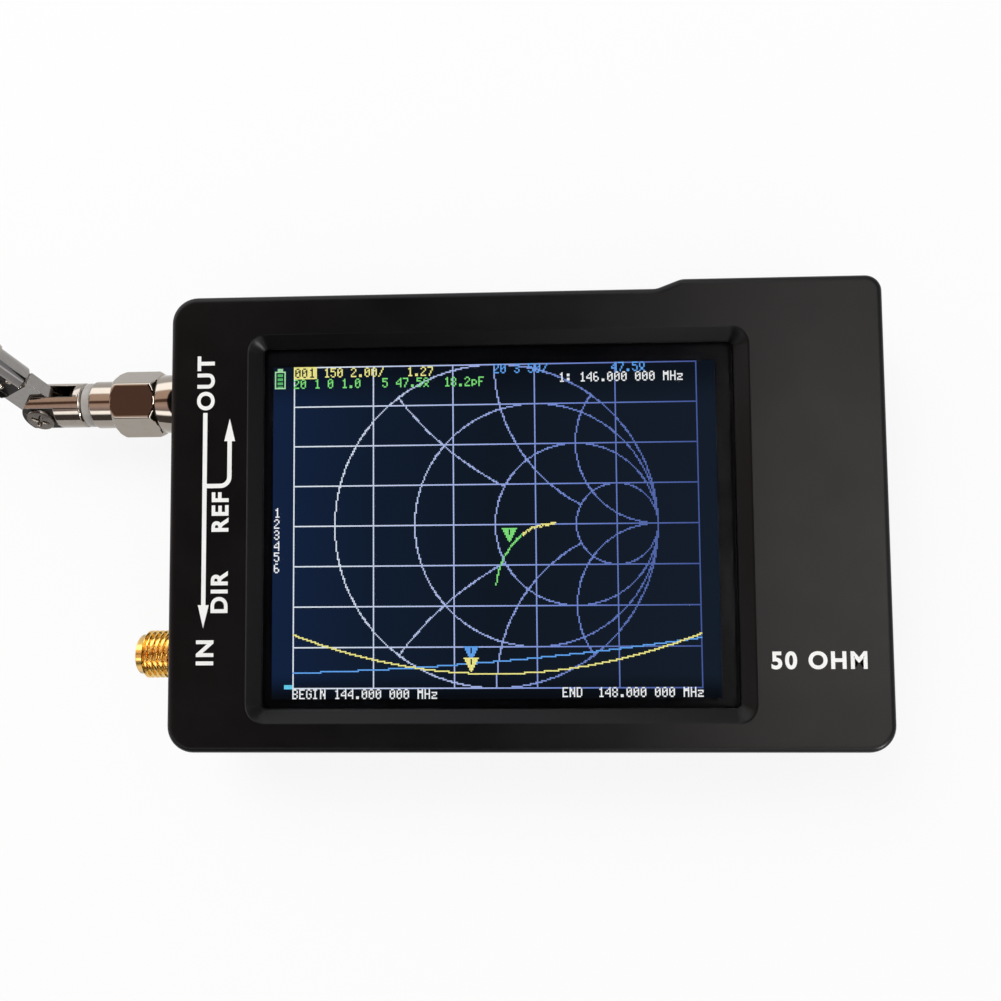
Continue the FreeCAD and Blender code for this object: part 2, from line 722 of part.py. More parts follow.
def make_rear_shell():
    """The lower shell: lip, standoffs with sunk screw holes and a cradle for the battery."""
    body = new_body("rear_shell")
    case_block(body, 0, port_axis_height)
    round_edges(body, rim_round, level_at("Z", 0))
    cavity = draw_box(sketch_on(body, "XY_Plane", port_axis_height), -cavity_x, cavity_x, -cavity_y, cavity_y)
    pocket(body, cavity, port_axis_height - rear_wall)
    lip_x = cavity_x + lip_thickness
    lip_y = cavity_y + lip_thickness
    lip = sketch_on(body, "XY_Plane", port_axis_height)
    draw_box(lip, -lip_x, lip_x, -lip_y, lip_y)
    draw_box(lip, -cavity_x, cavity_x, -cavity_y, cavity_y)
    pad(body, lip, lip_height)
    inner_round = corner_radius - case_wall
    round_edges(body, inner_round, parallel_at("Z", four_corners(cavity_x, cavity_y)))
    round_edges(body, inner_round + lip_thickness, parallel_at("Z", four_corners(lip_x, lip_y)))
    standoffs = sketch_on(body, "XY_Plane", rear_wall)
    holes = sketch_on(body, "XY_Plane", board_bottom)
    sinks = sketch_on(body, "XY_Plane", 0)
    for x, y in screw_places:
        draw_circle(standoffs, x, y, standoff_diameter / 2)
        draw_circle(holes, x, y, screw_diameter / 2 + hole_gap)
        draw_circle(sinks, x, y, screw_head_diameter / 2 + screw_head_gap)
    pad(body, standoffs, board_bottom - rear_wall)
    pocket(body, holes, board_bottom)
    pocket(body, sinks, screw_head_sink + screw_head_height, along=True)
    half_breadth = battery_breadth / 2
    cradle = sketch_on(body, "XY_Plane", rear_wall)
    for side in (-1, 1):
        near = side * (half_breadth + pocket_gap)
        far = side * (half_breadth + pocket_gap + cradle_thickness)
        low, high = (near, far) if side > 0 else (far, near)
        draw_box(cradle, battery_left + cradle_inset, battery_right - cradle_inset, low, high)
    end = battery_right + pocket_gap
    half_stop = half_breadth - cradle_inset
    draw_box(cradle, end, end + cradle_thickness, -half_stop, half_stop)
    pad(body, cradle, cradle_height)
    cut_port_holes(body)
    return body


def make_case_screws():
    """Four screws with sunk heads, driven from the rear into the front shell's bosses."""
    screws = []
    shank_start = screw_head_sink + screw_head_height
    shank_end = board_top + screw_bite
    for number, (x, y) in enumerate(screw_places):
        head_base = (x, y, screw_head_sink)
        radius = screw_head_diameter / 2
        head = cylinder(f"screw_head_{number}", radius, screw_head_height, head_base, (0, 0, 1))
        shank_base = (x, y, shank_start)
        length = shank_end - shank_start
        shank = cylinder(f"screw_shank_{number}", screw_diameter / 2, length, shank_base, (0, 0, 1))
        screws.append(fuse(f"screw_{number}", head, shank))
    return sub_part("case_screws", group("screws", *screws))


def make_board():
    """The main board with a hole at each standoff."""
    body = new_body("main_board")
    sketch = sketch_on(body, "XY_Plane", board_bottom)
    draw_box(sketch, board_left, board_right, -board_side, board_side)
    pad(body, sketch, board_thickness)
    corners = [(x, y) for x in (board_left, board_right) for y in (-board_side, board_side)]
    round_edges(body, board_corner, parallel_at("Z", corners))
    holes = sketch_on(body, "XY_Plane", board_top)
    for x, y in screw_places:
        draw_circle(holes, x, y, screw_diameter / 2 + hole_gap)
    pocket(body, holes, board_thickness)


def make_screen():
    """The stack behind the window, from the foam on the board to the touch panel."""
    low = (module_left + panel_end_inset, module_low + fit_gap)
    high = (module_right - panel_end_inset, module_high - fit_gap)
    touch = new_body("touch_panel")
    sketch = draw_box(sketch_on(touch, "XY_Plane", touch_bottom), low[0], high[0], low[1], high[1])
    pad(touch, sketch, touch_thickness)
    lcd = new_body("lcd_panel")
    sketch = draw_box(sketch_on(lcd, "XY_Plane", lcd_bottom), low[0], high[0], low[1], high[1])
    pad(lcd, sketch, lcd_thickness)
    tray = new_body("backlight_tray")
    sketch = sketch_on(tray, "XY_Plane", tray_bottom)
    draw_box(sketch, module_left, module_right, module_low, module_high)
    pad(tray, sketch, tray_thickness)
    inner = sketch_on(tray, "XY_Plane", lcd_bottom)
    rim = tray_rim
    draw_box(inner, module_left + rim, module_right - rim, module_low + rim, module_high - rim)
    pocket(tray, inner, tray_thickness - tray_floor)
    inset = rim + fit_gap
    guide_low = (module_left + inset, module_low + inset, tray_bottom + tray_floor)
    guide_high = (module_right - inset, module_high - inset, lcd_bottom)
    sub_part("light_guide", box("guide", guide_low, guide_high))
    foam_low = (module_left + foam_end_inset, module_low + foam_side_inset, board_top)
    foam_high = (module_right - foam_end_inset, module_high - foam_side_inset, tray_bottom)
    sub_part("foam_pad", box("foam", foam_low, foam_high))


def make_flex():
    """The display's flex, folded down in an S from the LCD to its socket on the board."""
    root = module_right - panel_end_inset
    drop_x = module_right + flex_reach
    socket_left = drop_x + flex_run
    seat = board_top + flex_seat
    start = lcd_bottom + flex_level
    thin = flex_thickness
    body = new_body("display_flex")
    outline = [
        (root, start),
        (drop_x - thin, start),
        (drop_x - thin, seat),
        (socket_left, seat),
        (socket_left, seat + thin),
        (drop_x, seat + thin),
        (drop_x, start + thin),
        (root, start + thin),
    ]
    sketch = draw_loop(sketch_on(body, "XZ_Plane", -(flex_y - flex_width / 2)), outline)
    pad(body, sketch, flex_width, along=False)
    inner = [(drop_x - thin, start), (drop_x, seat + thin)]
    outer = [(drop_x, start + thin), (drop_x - thin, seat)]
    round_edges(body, flex_round, parallel_at("Y", inner))
    round_edges(body, thin + flex_round, parallel_at("Y", outer))
    socket = new_body("flex_socket")
    half = flex_width / 2 + flex_socket_end
    socket_right = socket_left + flex_socket_depth
    socket_top = board_top + flex_socket_height
    profile = [
        (socket_left, board_top),
        (socket_right, board_top),
        (socket_right, board_top + flex_socket_back),
        (socket_left + flex_latch, socket_top),
        (socket_left, socket_top),
    ]
    sketch = draw_loop(sketch_on(socket, "XZ_Plane", -(flex_y - half)), profile)
    pad(socket, sketch, 2 * half, along=False)


def make_port(label, y):
    """A threaded jack on the board's edge: body with legs, insulator and centre contact."""
    reach = half_length + port_reach
    flange_face = board_left - flange_thickness
    relief_end = -half_length + fit_gap
    body = new_body(f"{label}_body")
    bore = dielectric_diameter / 2
    mouth = socket_diameter / 2
    shoulder = socket_depth - reach
    thread_start = lip_end_length - reach
    revolve(
        body,
        [
            (-reach, mouth),
            (-reach, lip_end_diameter / 2),
            (thread_start, lip_end_diameter / 2),
            (thread_start, thread_diameter / 2),
            (relief_end, thread_diameter / 2),
            (relief_end, relief_diameter / 2),
            (flange_face + port_recess, relief_diameter / 2),
            (flange_face + port_recess, bore),
            (shoulder, bore),
            (shoulder, mouth),
        ],
    )
    flange = sketch_on(body, "YZ_Plane", flange_face)
    half = flange_side / 2
    draw_box(flange, -half, half, -half, half)
    draw_circle(flange, 0, 0, bore)
    pad(body, flange, flange_thickness)
    legs = sketch_on(body, "YZ_Plane", board_left)
    over = board_top - port_axis_height
    under = board_bottom - port_axis_height
    for side in (-1, 1):
        outer = side * (half - fit_gap)
        inner = side * (half - fit_gap - port_leg)
        left, right = (inner, outer) if side > 0 else (outer, inner)
        draw_box(legs, left, right, over, over + port_leg)
        draw_box(legs, left, right, under - port_leg, under)
    pad(body, legs, port_leg_length)
    place(body, 0, y, port_axis_height)
    insulator = new_body(f"{label}_insulator")
    hole = contact_diameter / 2
    revolve(insulator, [(shoulder, hole), (shoulder, bore), (board_left, bore), (board_left, hole)])
    place(insulator, 0, y, port_axis_height)
    contact = new_body(f"{label}_contact")
    socket_end = shoulder + contact_depth
    inside = contact_hole / 2
    tail = board_left + port_leg_length - port_leg / 2
    tail_radius = board_bottom - port_axis_height
    revolve(
        contact,
        [
            (shoulder, inside),
            (shoulder, hole),
            (board_left, hole),
            (board_left, tail_radius),
            (tail, tail_radius),
            (tail, 0),
            (socket_end, 0),
            (socket_end, inside),
        ],
    )
    place(contact, 0, y, port_axis_height)


# Distances along the antenna's connector, from the case outwards, all on the -X side
nut_open_end = -half_length - nut_wall_gap
nut_hex_start = nut_open_end - nut_skirt_length
nut_far_end = nut_hex_start - nut_hex_length
port_tip = -half_length - port_reach
reference_plane = port_tip + socket_depth
flange_near = port_tip - plug_gap
flange_far = nut_far_end + nut_end_wall + running_gap
ferrule_near = nut_far_end - running_gap
ferrule_far = ferrule_near - ferrule_length
neck_far = ferrule_far + neck_length
bush_far = ferrule_far - bush_flange
head_near = bush_far - running_gap
pivot_x = head_near - head_length
stub_outer = ferrule_near + stub_depth
stub_inner = stub_outer + running_gap


def make_nut():
    """The coupling nut: a round skirt, then a hexagon with its corners taken off."""
    body = new_body("coupling_nut")
    corner = nut_across_flats / 2 / math.cos(math.radians(30))
    skirt = nut_skirt_diameter / 2
    bore = thread_diameter / 2 + running_gap
    hole = neck_diameter / 2 + running_gap
    inner_end = nut_far_end + nut_end_wall
    bevel = corner - nut_across_flats / 2 + running_gap
    slope = bevel * 0.6
    revolve(
        body,
        [
            (nut_open_end, bore),
            (nut_open_end, skirt - end_break),
            (nut_open_end - end_break, skirt),
            (nut_hex_start, skirt),
            (nut_hex_start - slope, corner),
            (nut_far_end + slope, corner),
            (nut_far_end, corner - bevel),
            (nut_far_end, hole),
            (inner_end, hole),
            (inner_end, bore),
        ],
    )
    flats = sketch_on(body, "YZ_Plane", nut_hex_start)
    draw_circle(flats, 0, 0, corner + overcut)
    turns = [math.radians(nut_turn.value + 60 * number) for number in range(6)]
    draw_loop(flats, [(corner * math.cos(turn), corner * math.sin(turn)) for turn in turns])
    pocket(body, flats, nut_hex_length)
    place(body, 0, antenna_y, port_axis_height)


def make_plug():
    """The fixed pieces of the antenna's plug."""
    tube = socket_diameter / 2 - running_gap
    inside = dielectric_diameter / 2
    flange = thread_diameter / 2
    neck = neck_diameter / 2
    sleeve = bush_sleeve_diameter / 2
    step = flange_far - plug_shell_length
    body = new_body("plug_body")
    revolve(
        body,
        [
            (reference_plane - running_gap, inside),
            (reference_plane - running_gap, tube),
            (flange_near, tube),
            (flange_near, flange),
            (flange_far, flange),
            (flange_far, neck),
            (neck_far, neck),
            (neck_far, sleeve),
            (step, sleeve),
            (step, inside),
        ],
    )
    insulator = new_body("plug_insulator")
    pin = pin_diameter / 2
    front = reference_plane - running_gap
    revolve(insulator, [(front, pin), (front, inside), (step, inside), (step, pin)])
    plug_pin = new_body("plug_pin")
    tip = reference_plane + pin_reach
    head = pin_head_diameter / 2
    root = stub_inner + fit_gap
    revolve(
        plug_pin,
        [
            (tip, 0),
            (tip, pin - pin_point / 2),
            (tip - pin_point, pin),
            (step, pin),
            (step, head),
            (root, head),
            (root, 0),
        ],
    )
    ferrule = new_body("antenna_ferrule")
    outside = ferrule_diameter / 2
    revolve(
        ferrule,
        [
            (ferrule_near, neck),
            (ferrule_near, outside - edge_break),
            (ferrule_near - edge_break, outside),
            (ferrule_far + edge_break, outside),
            (ferrule_far, outside - edge_break),
            (ferrule_far, neck),
        ],
    )
    bush = new_body("insulating_bush")
    rim = bush_diameter / 2
    hole = stub_diameter / 2 + running_gap
    seat = stub_head_diameter / 2 + running_gap
    well = stub_inner - stub_head_length - running_gap
    revolve(
        bush,
        [
            (bush_far, hole),
            (bush_far, rim),
            (ferrule_far, rim),
            (ferrule_far, neck),
            (neck_far, neck),
            (neck_far, sleeve),
            (root, sleeve),
            (root, seat),
            (well, seat),
            (well, hole),
        ],
    )
    for piece in (body, insulator, plug_pin, ferrule, bush):
        place(piece, 0, antenna_y, port_axis_height)


# Directions at the elbow: outwards along the connector, across it in the plane of the fold,
# and along the hinge pin
tilt = math.radians(fold_plane_tilt.value)
fold = math.radians(fold_angle.value)
outward = V(-1, 0, 0)
across = V(0, math.cos(tilt), math.sin(tilt))
hinge = outward.cross(across)
mast_way = outward * math.cos(fold) + across * math.sin(fold)
pivot = V(pivot_x.value, antenna_y.value, port_axis_height.value)


def stand_at_elbow(piece, along):
    """Put a piece drawn about the elbow in place, its X axis along a direction."""
    piece.Placement = FreeCAD.Placement(pivot, FreeCAD.Rotation(along, hinge.cross(along), hinge, "XYZ"))


def make_head():
    """The swivel head: a stub in the bush, a slot for the mast's tongue and two flats."""
    radius = head_diameter / 2
    base = -head_length
    stub_end = -(stub_inner - pivot_x)
    flange_end = stub_end + stub_head_length
    body = new_body("swivel_head")
    revolve(
        body,
        [
            (stub_end, 0),
            (stub_end, stub_head_diameter / 2),
            (flange_end, stub_head_diameter / 2),
            (flange_end, stub_diameter / 2),
            (base, stub_diameter / 2),
            (base, radius - end_break),
            (base + end_break, radius),
            (head_end_reach, radius),
            (head_end_reach, 0),
        ],
    )
    reach = radius + overcut
    slot_half = tongue_thickness / 2 + running_gap
    slot = draw_box(sketch_on(body, "XZ_Plane", -reach), -head_slot_depth, reach, -slot_half, slot_half)
    pocket(body, slot, 2 * reach, along=True)
    flats = sketch_on(body, "XZ_Plane", -reach)
    flat_start = -hinge_head_diameter / 2 - hinge_flat_margin
    draw_box(flats, flat_start, reach, head_flat, reach)
    draw_box(flats, flat_start, reach, -reach, -head_flat)
    pocket(body, flats, 2 * reach, along=True)
    end = draw_round_end(sketch_on(body, "XY_Plane", reach), radius, reach, radius - head_end_reach)
    pocket(body, end, 2 * reach)
    bore = draw_circle(sketch_on(body, "XY_Plane", reach), 0, 0, hinge_pin_diameter / 2)
    pocket(body, bore, 2 * reach)
    stand_at_elbow(body, outward)


def make_hinge_screw():
    """The elbow's screw: its head lies on one flat and its end is flush with the other."""
    body = new_body("hinge_screw")
    sketch = draw_circle(sketch_on(body, "XY_Plane", -head_flat), 0, 0, hinge_pin_diameter / 2 - hinge_fit)
    pad(body, sketch, 2 * head_flat)
    top = draw_circle(sketch_on(body, "XY_Plane", -head_flat), 0, 0, hinge_head_diameter / 2)
    pad(body, top, hinge_head_height, along=False)
    round_edges(body, hinge_head_height * 0.6, level_at("Z", -head_flat - hinge_head_height))
    stand_at_elbow(body, outward)


def make_foot():
    """The mast's foot: a tongue rounded about the hinge, a shank with a recess, a plug for the tube."""
    body = new_body("mast_foot")
    half_tongue = tongue_thickness / 2
    half = tongue_width / 2
    shoulder_end = foot_shoulder + foot_shoulder_length
    radius = mast_diameter / 2
    plug = radius - mast_wall
    shank = foot_shoulder_diameter / 2
    revolve(
        body,
        [
            (foot_shoulder, 0),
            (foot_shoulder, shank - foot_chamfer),
            (foot_shoulder + foot_chamfer, shank),
            (shoulder_end, shank),
            (shoulder_end, plug),
            (shoulder_end + foot_plug_length, plug),
            (shoulder_end + foot_plug_length, 0),
        ],
    )
    tongue = sketch_on(body, "XY_Plane", -half_tongue)
    draw_box(tongue, -half, foot_shoulder + end_break, -half, half)
    pad(body, tongue, tongue_thickness)
    round_edges(body, half - 0.05, parallel_at("Z", [(-half, -half), (-half, half)]))
    hole = draw_circle(sketch_on(body, "XY_Plane", half_tongue), 0, 0, hinge_pin_diameter / 2 + running_gap)
    pocket(body, hole, tongue_thickness)
    recess = sketch_on(body, "XY_Plane", -half_tongue)
    recess_half = foot_recess_width / 2
    draw_box(recess, foot_shoulder - overcut, shoulder_end - foot_recess_end, -recess_half, recess_half)
    pocket(body, recess, radius)
    stand_at_elbow(body, mast_way)


def tube_profile(start, end, outside, inside, lip_inside, collar):
    """The half section of a mast tube, with a rolled lip at its far end and a flared collar."""
    corners = [(start, inside)]
    if collar:
        corners += [(start, collar), (start + mast_collar, collar), (start + mast_collar, outside)]
    else:
        corners += [(start, outside)]
    corners += [(end - mast_roll, outside), (end, outside - mast_roll_depth), (end, lip_inside)]
    corners += [(end - mast_lip, lip_inside), (end - mast_lip, inside)]
    return corners


def make_mast():
    """Three tubes and a rod, each running in the lip of the one before it."""
    start = foot_shoulder + foot_shoulder_length
    end = start + mast_length
    plug_end = start + foot_plug_length
    for number in range(3):
        outside = (mast_diameter - number * mast_step) / 2
        inside = outside - mast_wall
        next_outside = outside - mast_step / 2
        collar = outside + mast_step / 2 - mast_wall - running_gap if number else None
        near = start if number == 0 else plug_end + number * mast_stagger
        far = end + number * mast_stagger
        tube = new_body(f"mast_tube_{number + 1}")
        revolve(tube, tube_profile(near, far, outside, inside, next_outside + running_gap / 2, collar))
        stand_at_elbow(tube, mast_way)
    rod_radius = (mast_diameter - 3 * mast_step) / 2
    collar = rod_radius + mast_step / 2 - mast_wall - running_gap
    near = plug_end + 3 * mast_stagger
    far = end + 3 * mast_stagger
    rod = new_body("mast_rod")
    shank = near + mast_collar
    revolve(
        rod,
        [(near, 0), (near, collar), (shank, collar), (shank, rod_radius), (far, rod_radius), (far, 0)],
    )
    stand_at_elbow(rod, mast_way)
    tip = new_body("mast_tip")
    cap = mast_diameter / 2 - tip_inset
    top = far + tip_length
    revolve(
        tip,
        [
            (far, 0),
            (far, cap - mast_roll),
            (far + mast_roll, cap),
            (top - tip_round, cap),
            (top, cap - tip_round),
            (top, 0),
        ],
    )
    stand_at_elbow(tip, mast_way)


def make_foot_rivets():
    """Two round heads that stand in the foot's recess."""
    shape = []
    turn = FreeCAD.Rotation(mast_way, hinge.cross(mast_way), hinge, "XYZ")
    along = (foot_shoulder + foot_rivet_distance).value
    for side in (-1, 1):
        base = V(along, side * foot_rivet_spread.value, -tongue_thickness.value / 2)
        dome = Part.makeSphere(foot_rivet_diameter.value / 2, base, V(0, 0, -1), 0, 90)
        dome.Placement = FreeCAD.Placement(pivot, turn).multiply(dome.Placement)
        shape.append(dome)
    rivets = sub_part("foot_rivets", doc.addObject("Part::Feature", "foot_rivets"))
    rivets.Shape = Part.makeCompound(shape)


def make_jog_switch():
    """The three-way switch: a hollow body, a carrier with a pivot pin and the lever on it."""
    half = jog_length / 2
    front = board_side
    top = board_top + jog_height
    body = new_body("jog_switch_body")
    sketch = draw_box(sketch_on(body, "XY_Plane", board_top), jog_x - half, jog_x + half, switch_back, front)
    pad(body, sketch, jog_height)
    hollow = sketch_on(body, "XZ_Plane", -front)
    wall = jog_wall
    floor = board_top + switch_floor
    draw_box(hollow, jog_x - half + wall, jog_x + half - wall, floor, top - switch_roof)
    pocket(body, hollow, switch_depth - switch_floor, along=True)
    pivot_y = front - jog_pin_depth
    plate_low = floor + running_gap
    plate_top = plate_low + jog_plate_height
    half_plate = jog_plate_width / 2
    carrier = new_body("jog_carrier")
    plate = sketch_on(carrier, "XY_Plane", plate_low)
    plate_back = switch_back + switch_floor + jog_travel + fit_gap
    draw_box(plate, jog_x - half_plate, jog_x + half_plate, plate_back, front - fit_gap)
    pad(carrier, plate, jog_plate_height)
    pin_radius = jog_pin_diameter / 2
    pin = draw_circle(sketch_on(carrier, "XY_Plane", plate_top), jog_x, pivot_y, pin_radius)
    pad(carrier, pin, jog_pin_height)
    lever = new_body("jog_lever")
    low = plate_top + running_gap
    tip = front + jog_reach
    neck = tip - jog_thumb_length
    thumb = jog_thumb_width / 2
    half_arm = jog_arm_width / 2
    outline = [
        (jog_x - half_arm, pivot_y - half_arm),
        (jog_x + half_arm, pivot_y - half_arm),
        (jog_x + half_arm, neck),
        (jog_x + thumb, neck),
        (jog_x + thumb, tip),
        (jog_x - thumb, tip),
        (jog_x - thumb, neck),
        (jog_x - half_arm, neck),
    ]
    pad(lever, draw_loop(sketch_on(lever, "XY_Plane", low), outline), jog_arm_height)
    round_edges(lever, jog_thumb_round, parallel_at("Z", [outline[4], outline[5]]))
    hole = sketch_on(lever, "XY_Plane", low + jog_arm_height)
    pocket(lever, draw_circle(hole, jog_x, pivot_y, pin_radius + running_gap), jog_arm_height)


def make_power_switch():
    """The slide switch: a body with a slot, and the slider with its thumb piece."""
    half = power_length / 2
    front = board_side
    body = new_body("power_switch_body")
    sketch = sketch_on(body, "XY_Plane", board_top)
    draw_box(sketch, power_x - half, power_x + half, switch_back, front)
    pad(body, sketch, power_height)
    slot_half = (power_knob_width + power_travel) / 2 + fit_gap
    floor = board_top + switch_floor
    roof = board_top + power_height - switch_roof
    slot = sketch_on(body, "XZ_Plane", -front)
    draw_box(slot, power_x - slot_half, power_x + slot_half, floor, roof)
    pocket(body, slot, switch_depth - power_neck, along=True)
    left = power_x - slot_half + fit_gap
    right = left + power_knob_width
    slider = new_body("power_slider")
    low = floor + running_gap
    tongue = sketch_on(slider, "XY_Plane", low)
    draw_box(tongue, left, right, switch_back + power_back, front + jog_reach)
    pad(slider, tongue, roof - running_gap - low)
    thumb = sketch_on(slider, "XY_Plane", board_top + switch_roof)
    draw_box(thumb, left, right, front + power_neck, front + jog_reach)
    pad(slider, thumb, power_height)


def make_usb_socket():
    """The USB socket: a rounded sheet shell with a tongue inside."""
    mouth = half_length - usb_recess
    back = mouth - usb_length
    half = usb_width / 2
    body = new_body("usb_socket")
    low = board_top
    high = board_top + usb_height
    sketch = draw_stadium(sketch_on(body, "YZ_Plane", back), usb_y - half, usb_y + half, low, high)
    pad(body, sketch, usb_length)
    hollow = sketch_on(body, "YZ_Plane", mouth)
    inside = half - usb_sheet
    draw_stadium(hollow, usb_y - inside, usb_y + inside, low + usb_sheet, high - usb_sheet)
    pocket(body, hollow, usb_length - usb_back)
    half_tongue = usb_tongue_width / 2
    half_thick = usb_tongue_height / 2
    tongue_low = (back + usb_back, usb_y - half_tongue, usb_middle_height - half_thick)
    tongue_high = (mouth - usb_tongue_inset, usb_y + half_tongue, usb_middle_height + half_thick)
    sub_part("usb_tongue", box("tongue", tongue_low, tongue_high))


def make_battery():
    """The pouch cell on its tape, its plug under the board and the two leads between them."""
    half = battery_breadth / 2
    floor = rear_wall + battery_tape_thickness
    inset = battery_tape_inset
    tape_low = (battery_left + inset, inset - half, rear_wall)
    tape_high = (battery_right - inset, half - inset, floor)
    sub_part("battery_tape", box("tape", tape_low, tape_high))
    cell = new_body("battery_cell")
    sketch = draw_box(sketch_on(cell, "XY_Plane", floor), battery_left, battery_right, -half, half)
    pad(cell, sketch, battery_thickness)
    round_edges(cell, battery_round, parallel_at_any("X"))
    side = battery_plug_side
    plug_low = (battery_plug_left, battery_plug_y - side, board_bottom - battery_plug_height)
    plug_high = (battery_plug_left + side, battery_plug_y, board_bottom)
    sub_part("battery_plug", box("plug", plug_low, plug_high))
    leads = []
    height = (plug_low[2] + lead_height).value
    bend = lead_bend.value
    for number in range(2):
        x = (battery_plug_left + lead_pitch * (number + 1)).value
        y = (lead_y - lead_pitch * number).value
        start = V(battery_left.value, y, height)
        corner = V(x, y, height)
        end = V(x, battery_plug_y.value, height)
        middle = corner + V(bend, -bend, 0) + V(-1, 1, 0) * (bend / math.sqrt(2))
        into_bend = corner + V(bend, 0, 0)
        out_of_bend = corner - V(0, bend, 0)
        first = Part.LineSegment(start, into_bend).toShape()
        turn = Part.Arc(into_bend, middle, out_of_bend).toShape()
        last = Part.LineSegment(out_of_bend, end).toShape()
        path = Part.Wire([first, turn, last])
        ring = Part.Wire([Part.makeCircle(lead_diameter.value / 2, start, V(1, 0, 0))])
        leads.append(path.makePipeShell([ring], True, False))
    wires = sub_part("battery_leads", doc.addObject("Part::Feature", "battery_leads"))
    wires.Shape = Part.makeCompound(leads)


def parallel_at_any(axis):
    """A test for every straight edge along an axis."""

    def test(edge):
        points = [vertex.Point for vertex in edge.Vertexes]
        if len(points) != 2:
            return False
        step = points[1] - points[0]
        return abs(abs(getattr(step, axis.lower())) - step.Length) < 1e-3 and step.Length > 1e-3

    return test


def make_under_board():
    """Shielding cans and chips on the board's underside."""
    cans = []
    for number, y in enumerate((antenna_y - shield_offset, measure_y + shield_offset)):
        low = (shield_left, y - shield_width / 2, board_bottom - shield_height)
        high = (shield_right, y + shield_width / 2, board_bottom)
        outside = box(f"can_outside_{number}", low, high)
        thin = shield_sheet
        inner_low = (low[0] + thin, low[1] + thin, low[2] + thin)
        inner_high = (high[0] - thin, high[1] - thin, high[2] + overcut)
        cans.append(cut(f"can_{number}", outside, box(f"can_inside_{number}", inner_low, inner_high)))
    sub_part("shield_cans", group("cans", *cans))
    mixers = []
    chip_low = board_bottom - chip_height
    left = (shield_left + shield_right - mixer_length) / 2
    for number, y in enumerate((antenna_y, antenna_y - mixer_pitch, measure_y)):
        low = (left, y - mixer_width / 2, chip_low)
        high = (left + mixer_length, y + mixer_width / 2, board_bottom)
        mixers.append(box(f"mixer_{number}", low, high))
    sub_part("mixer_chips", group("mixers", *mixers))
    chips = [
        ("microcontroller", microcontroller_x, microcontroller_y, microcontroller_side),
        ("clock_generator", clock_generator_x, clock_generator_y, clock_generator_side),
        ("audio_codec", audio_codec_x, audio_codec_y, audio_codec_side),
    ]
    for name, x, y, side in chips:
        sub_part(name, box(name, (x, y, chip_low), (x + side, y + side, board_bottom)))
    lamps = []
    right = board_right - fit_gap
    for number in range(2):
        y = usb_y + usb_width / 2 + lamp_distance + lamp_pitch * number
        low = (right - lamp_length, y, board_top)
        high = (right, y + lamp_width, board_top + lamp_height)
        lamps.append(box(f"lamp_{number}", low, high))
    sub_part("indicator_lamps", group("lamps", *lamps))


def check_and_write():
    """Stop on any failed feature, then write every piece."""
    doc.recompute()
    for thing in doc.Objects:
        if "Invalid" in thing.State or "Error" in thing.State:
            raise ValueError(f"{thing.Label}: {thing.State}")
    os.makedirs("parts", exist_ok=True)
    for label, thing in parts.items():
        if thing.Shape.isNull() or not thing.Shape.isValid():
            raise ValueError(f"{label}: bad shape")
        thing.Shape.exportStep(f"parts/{label}.step")
    print(len(parts), "pieces written")


make_front_shell()
make_rear_shell()
make_case_screws()
make_board()
make_screen()
make_flex()
make_port("antenna_port", antenna_y)
make_port("measure_port", measure_y)
make_nut()
make_plug()
make_head()
make_hinge_screw()
make_foot()
make_mast()
make_foot_rivets()
make_jog_switch()
make_power_switch()
make_usb_socket()
make_battery()
make_under_board()
check_and_write()
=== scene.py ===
# %% [markdown]
# # A pocket antenna analyzer
# This lesson dresses a pocket instrument that measures antennas: a black case with a lit
# screen, two threaded coaxial ports and a chromed whip antenna on the upper one. The solid
# model is loaded first as a fixed frame, and every visible piece is then made around it.
# Everything is in metres, with the origin under the middle of the case.

# %% Load the frame
import json
import math

import bmesh
import bpy
from mathutils import Matrix, Vector

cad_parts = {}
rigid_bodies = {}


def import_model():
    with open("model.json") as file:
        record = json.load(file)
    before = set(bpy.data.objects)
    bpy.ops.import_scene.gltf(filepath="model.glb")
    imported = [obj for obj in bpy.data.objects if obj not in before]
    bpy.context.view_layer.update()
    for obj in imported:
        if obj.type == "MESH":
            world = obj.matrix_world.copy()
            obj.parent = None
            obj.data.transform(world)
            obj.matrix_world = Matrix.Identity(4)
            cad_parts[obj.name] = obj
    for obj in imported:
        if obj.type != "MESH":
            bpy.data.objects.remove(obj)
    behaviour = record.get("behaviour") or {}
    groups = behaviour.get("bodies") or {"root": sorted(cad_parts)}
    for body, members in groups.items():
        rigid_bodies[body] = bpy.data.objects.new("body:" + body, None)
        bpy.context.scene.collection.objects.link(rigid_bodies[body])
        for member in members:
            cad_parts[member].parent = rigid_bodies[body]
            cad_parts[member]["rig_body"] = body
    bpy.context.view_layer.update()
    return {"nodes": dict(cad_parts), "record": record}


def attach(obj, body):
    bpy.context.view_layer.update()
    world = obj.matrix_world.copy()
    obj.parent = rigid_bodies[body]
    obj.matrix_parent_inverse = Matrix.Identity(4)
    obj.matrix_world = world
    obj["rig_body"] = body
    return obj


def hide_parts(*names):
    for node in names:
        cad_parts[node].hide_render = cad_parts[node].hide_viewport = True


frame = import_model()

MM = 0.001
NODES = frame["nodes"]

# %% [markdown]
# ## The camera
# The photograph was taken from 12 cm above the screen, so near edges look larger than far
# ones. The screen's grid gave the place and the turn of the camera: a lens of 32 mm on a
# sensor of 36 mm. Depth of field stays off, because the picture is sharp all over.

# %% Camera
CAMERA_PLACE = (1.669, -4.499, 130.229)
CAMERA_TURN = (3.408, 2.349, -0.501)
LENS = 32.37
SENSOR = 36
scene = bpy.context.scene


def linked(name, data):
    """A new object in the scene."""
    made = bpy.data.objects.new(name, data)
    scene.collection.objects.link(made)
    return made


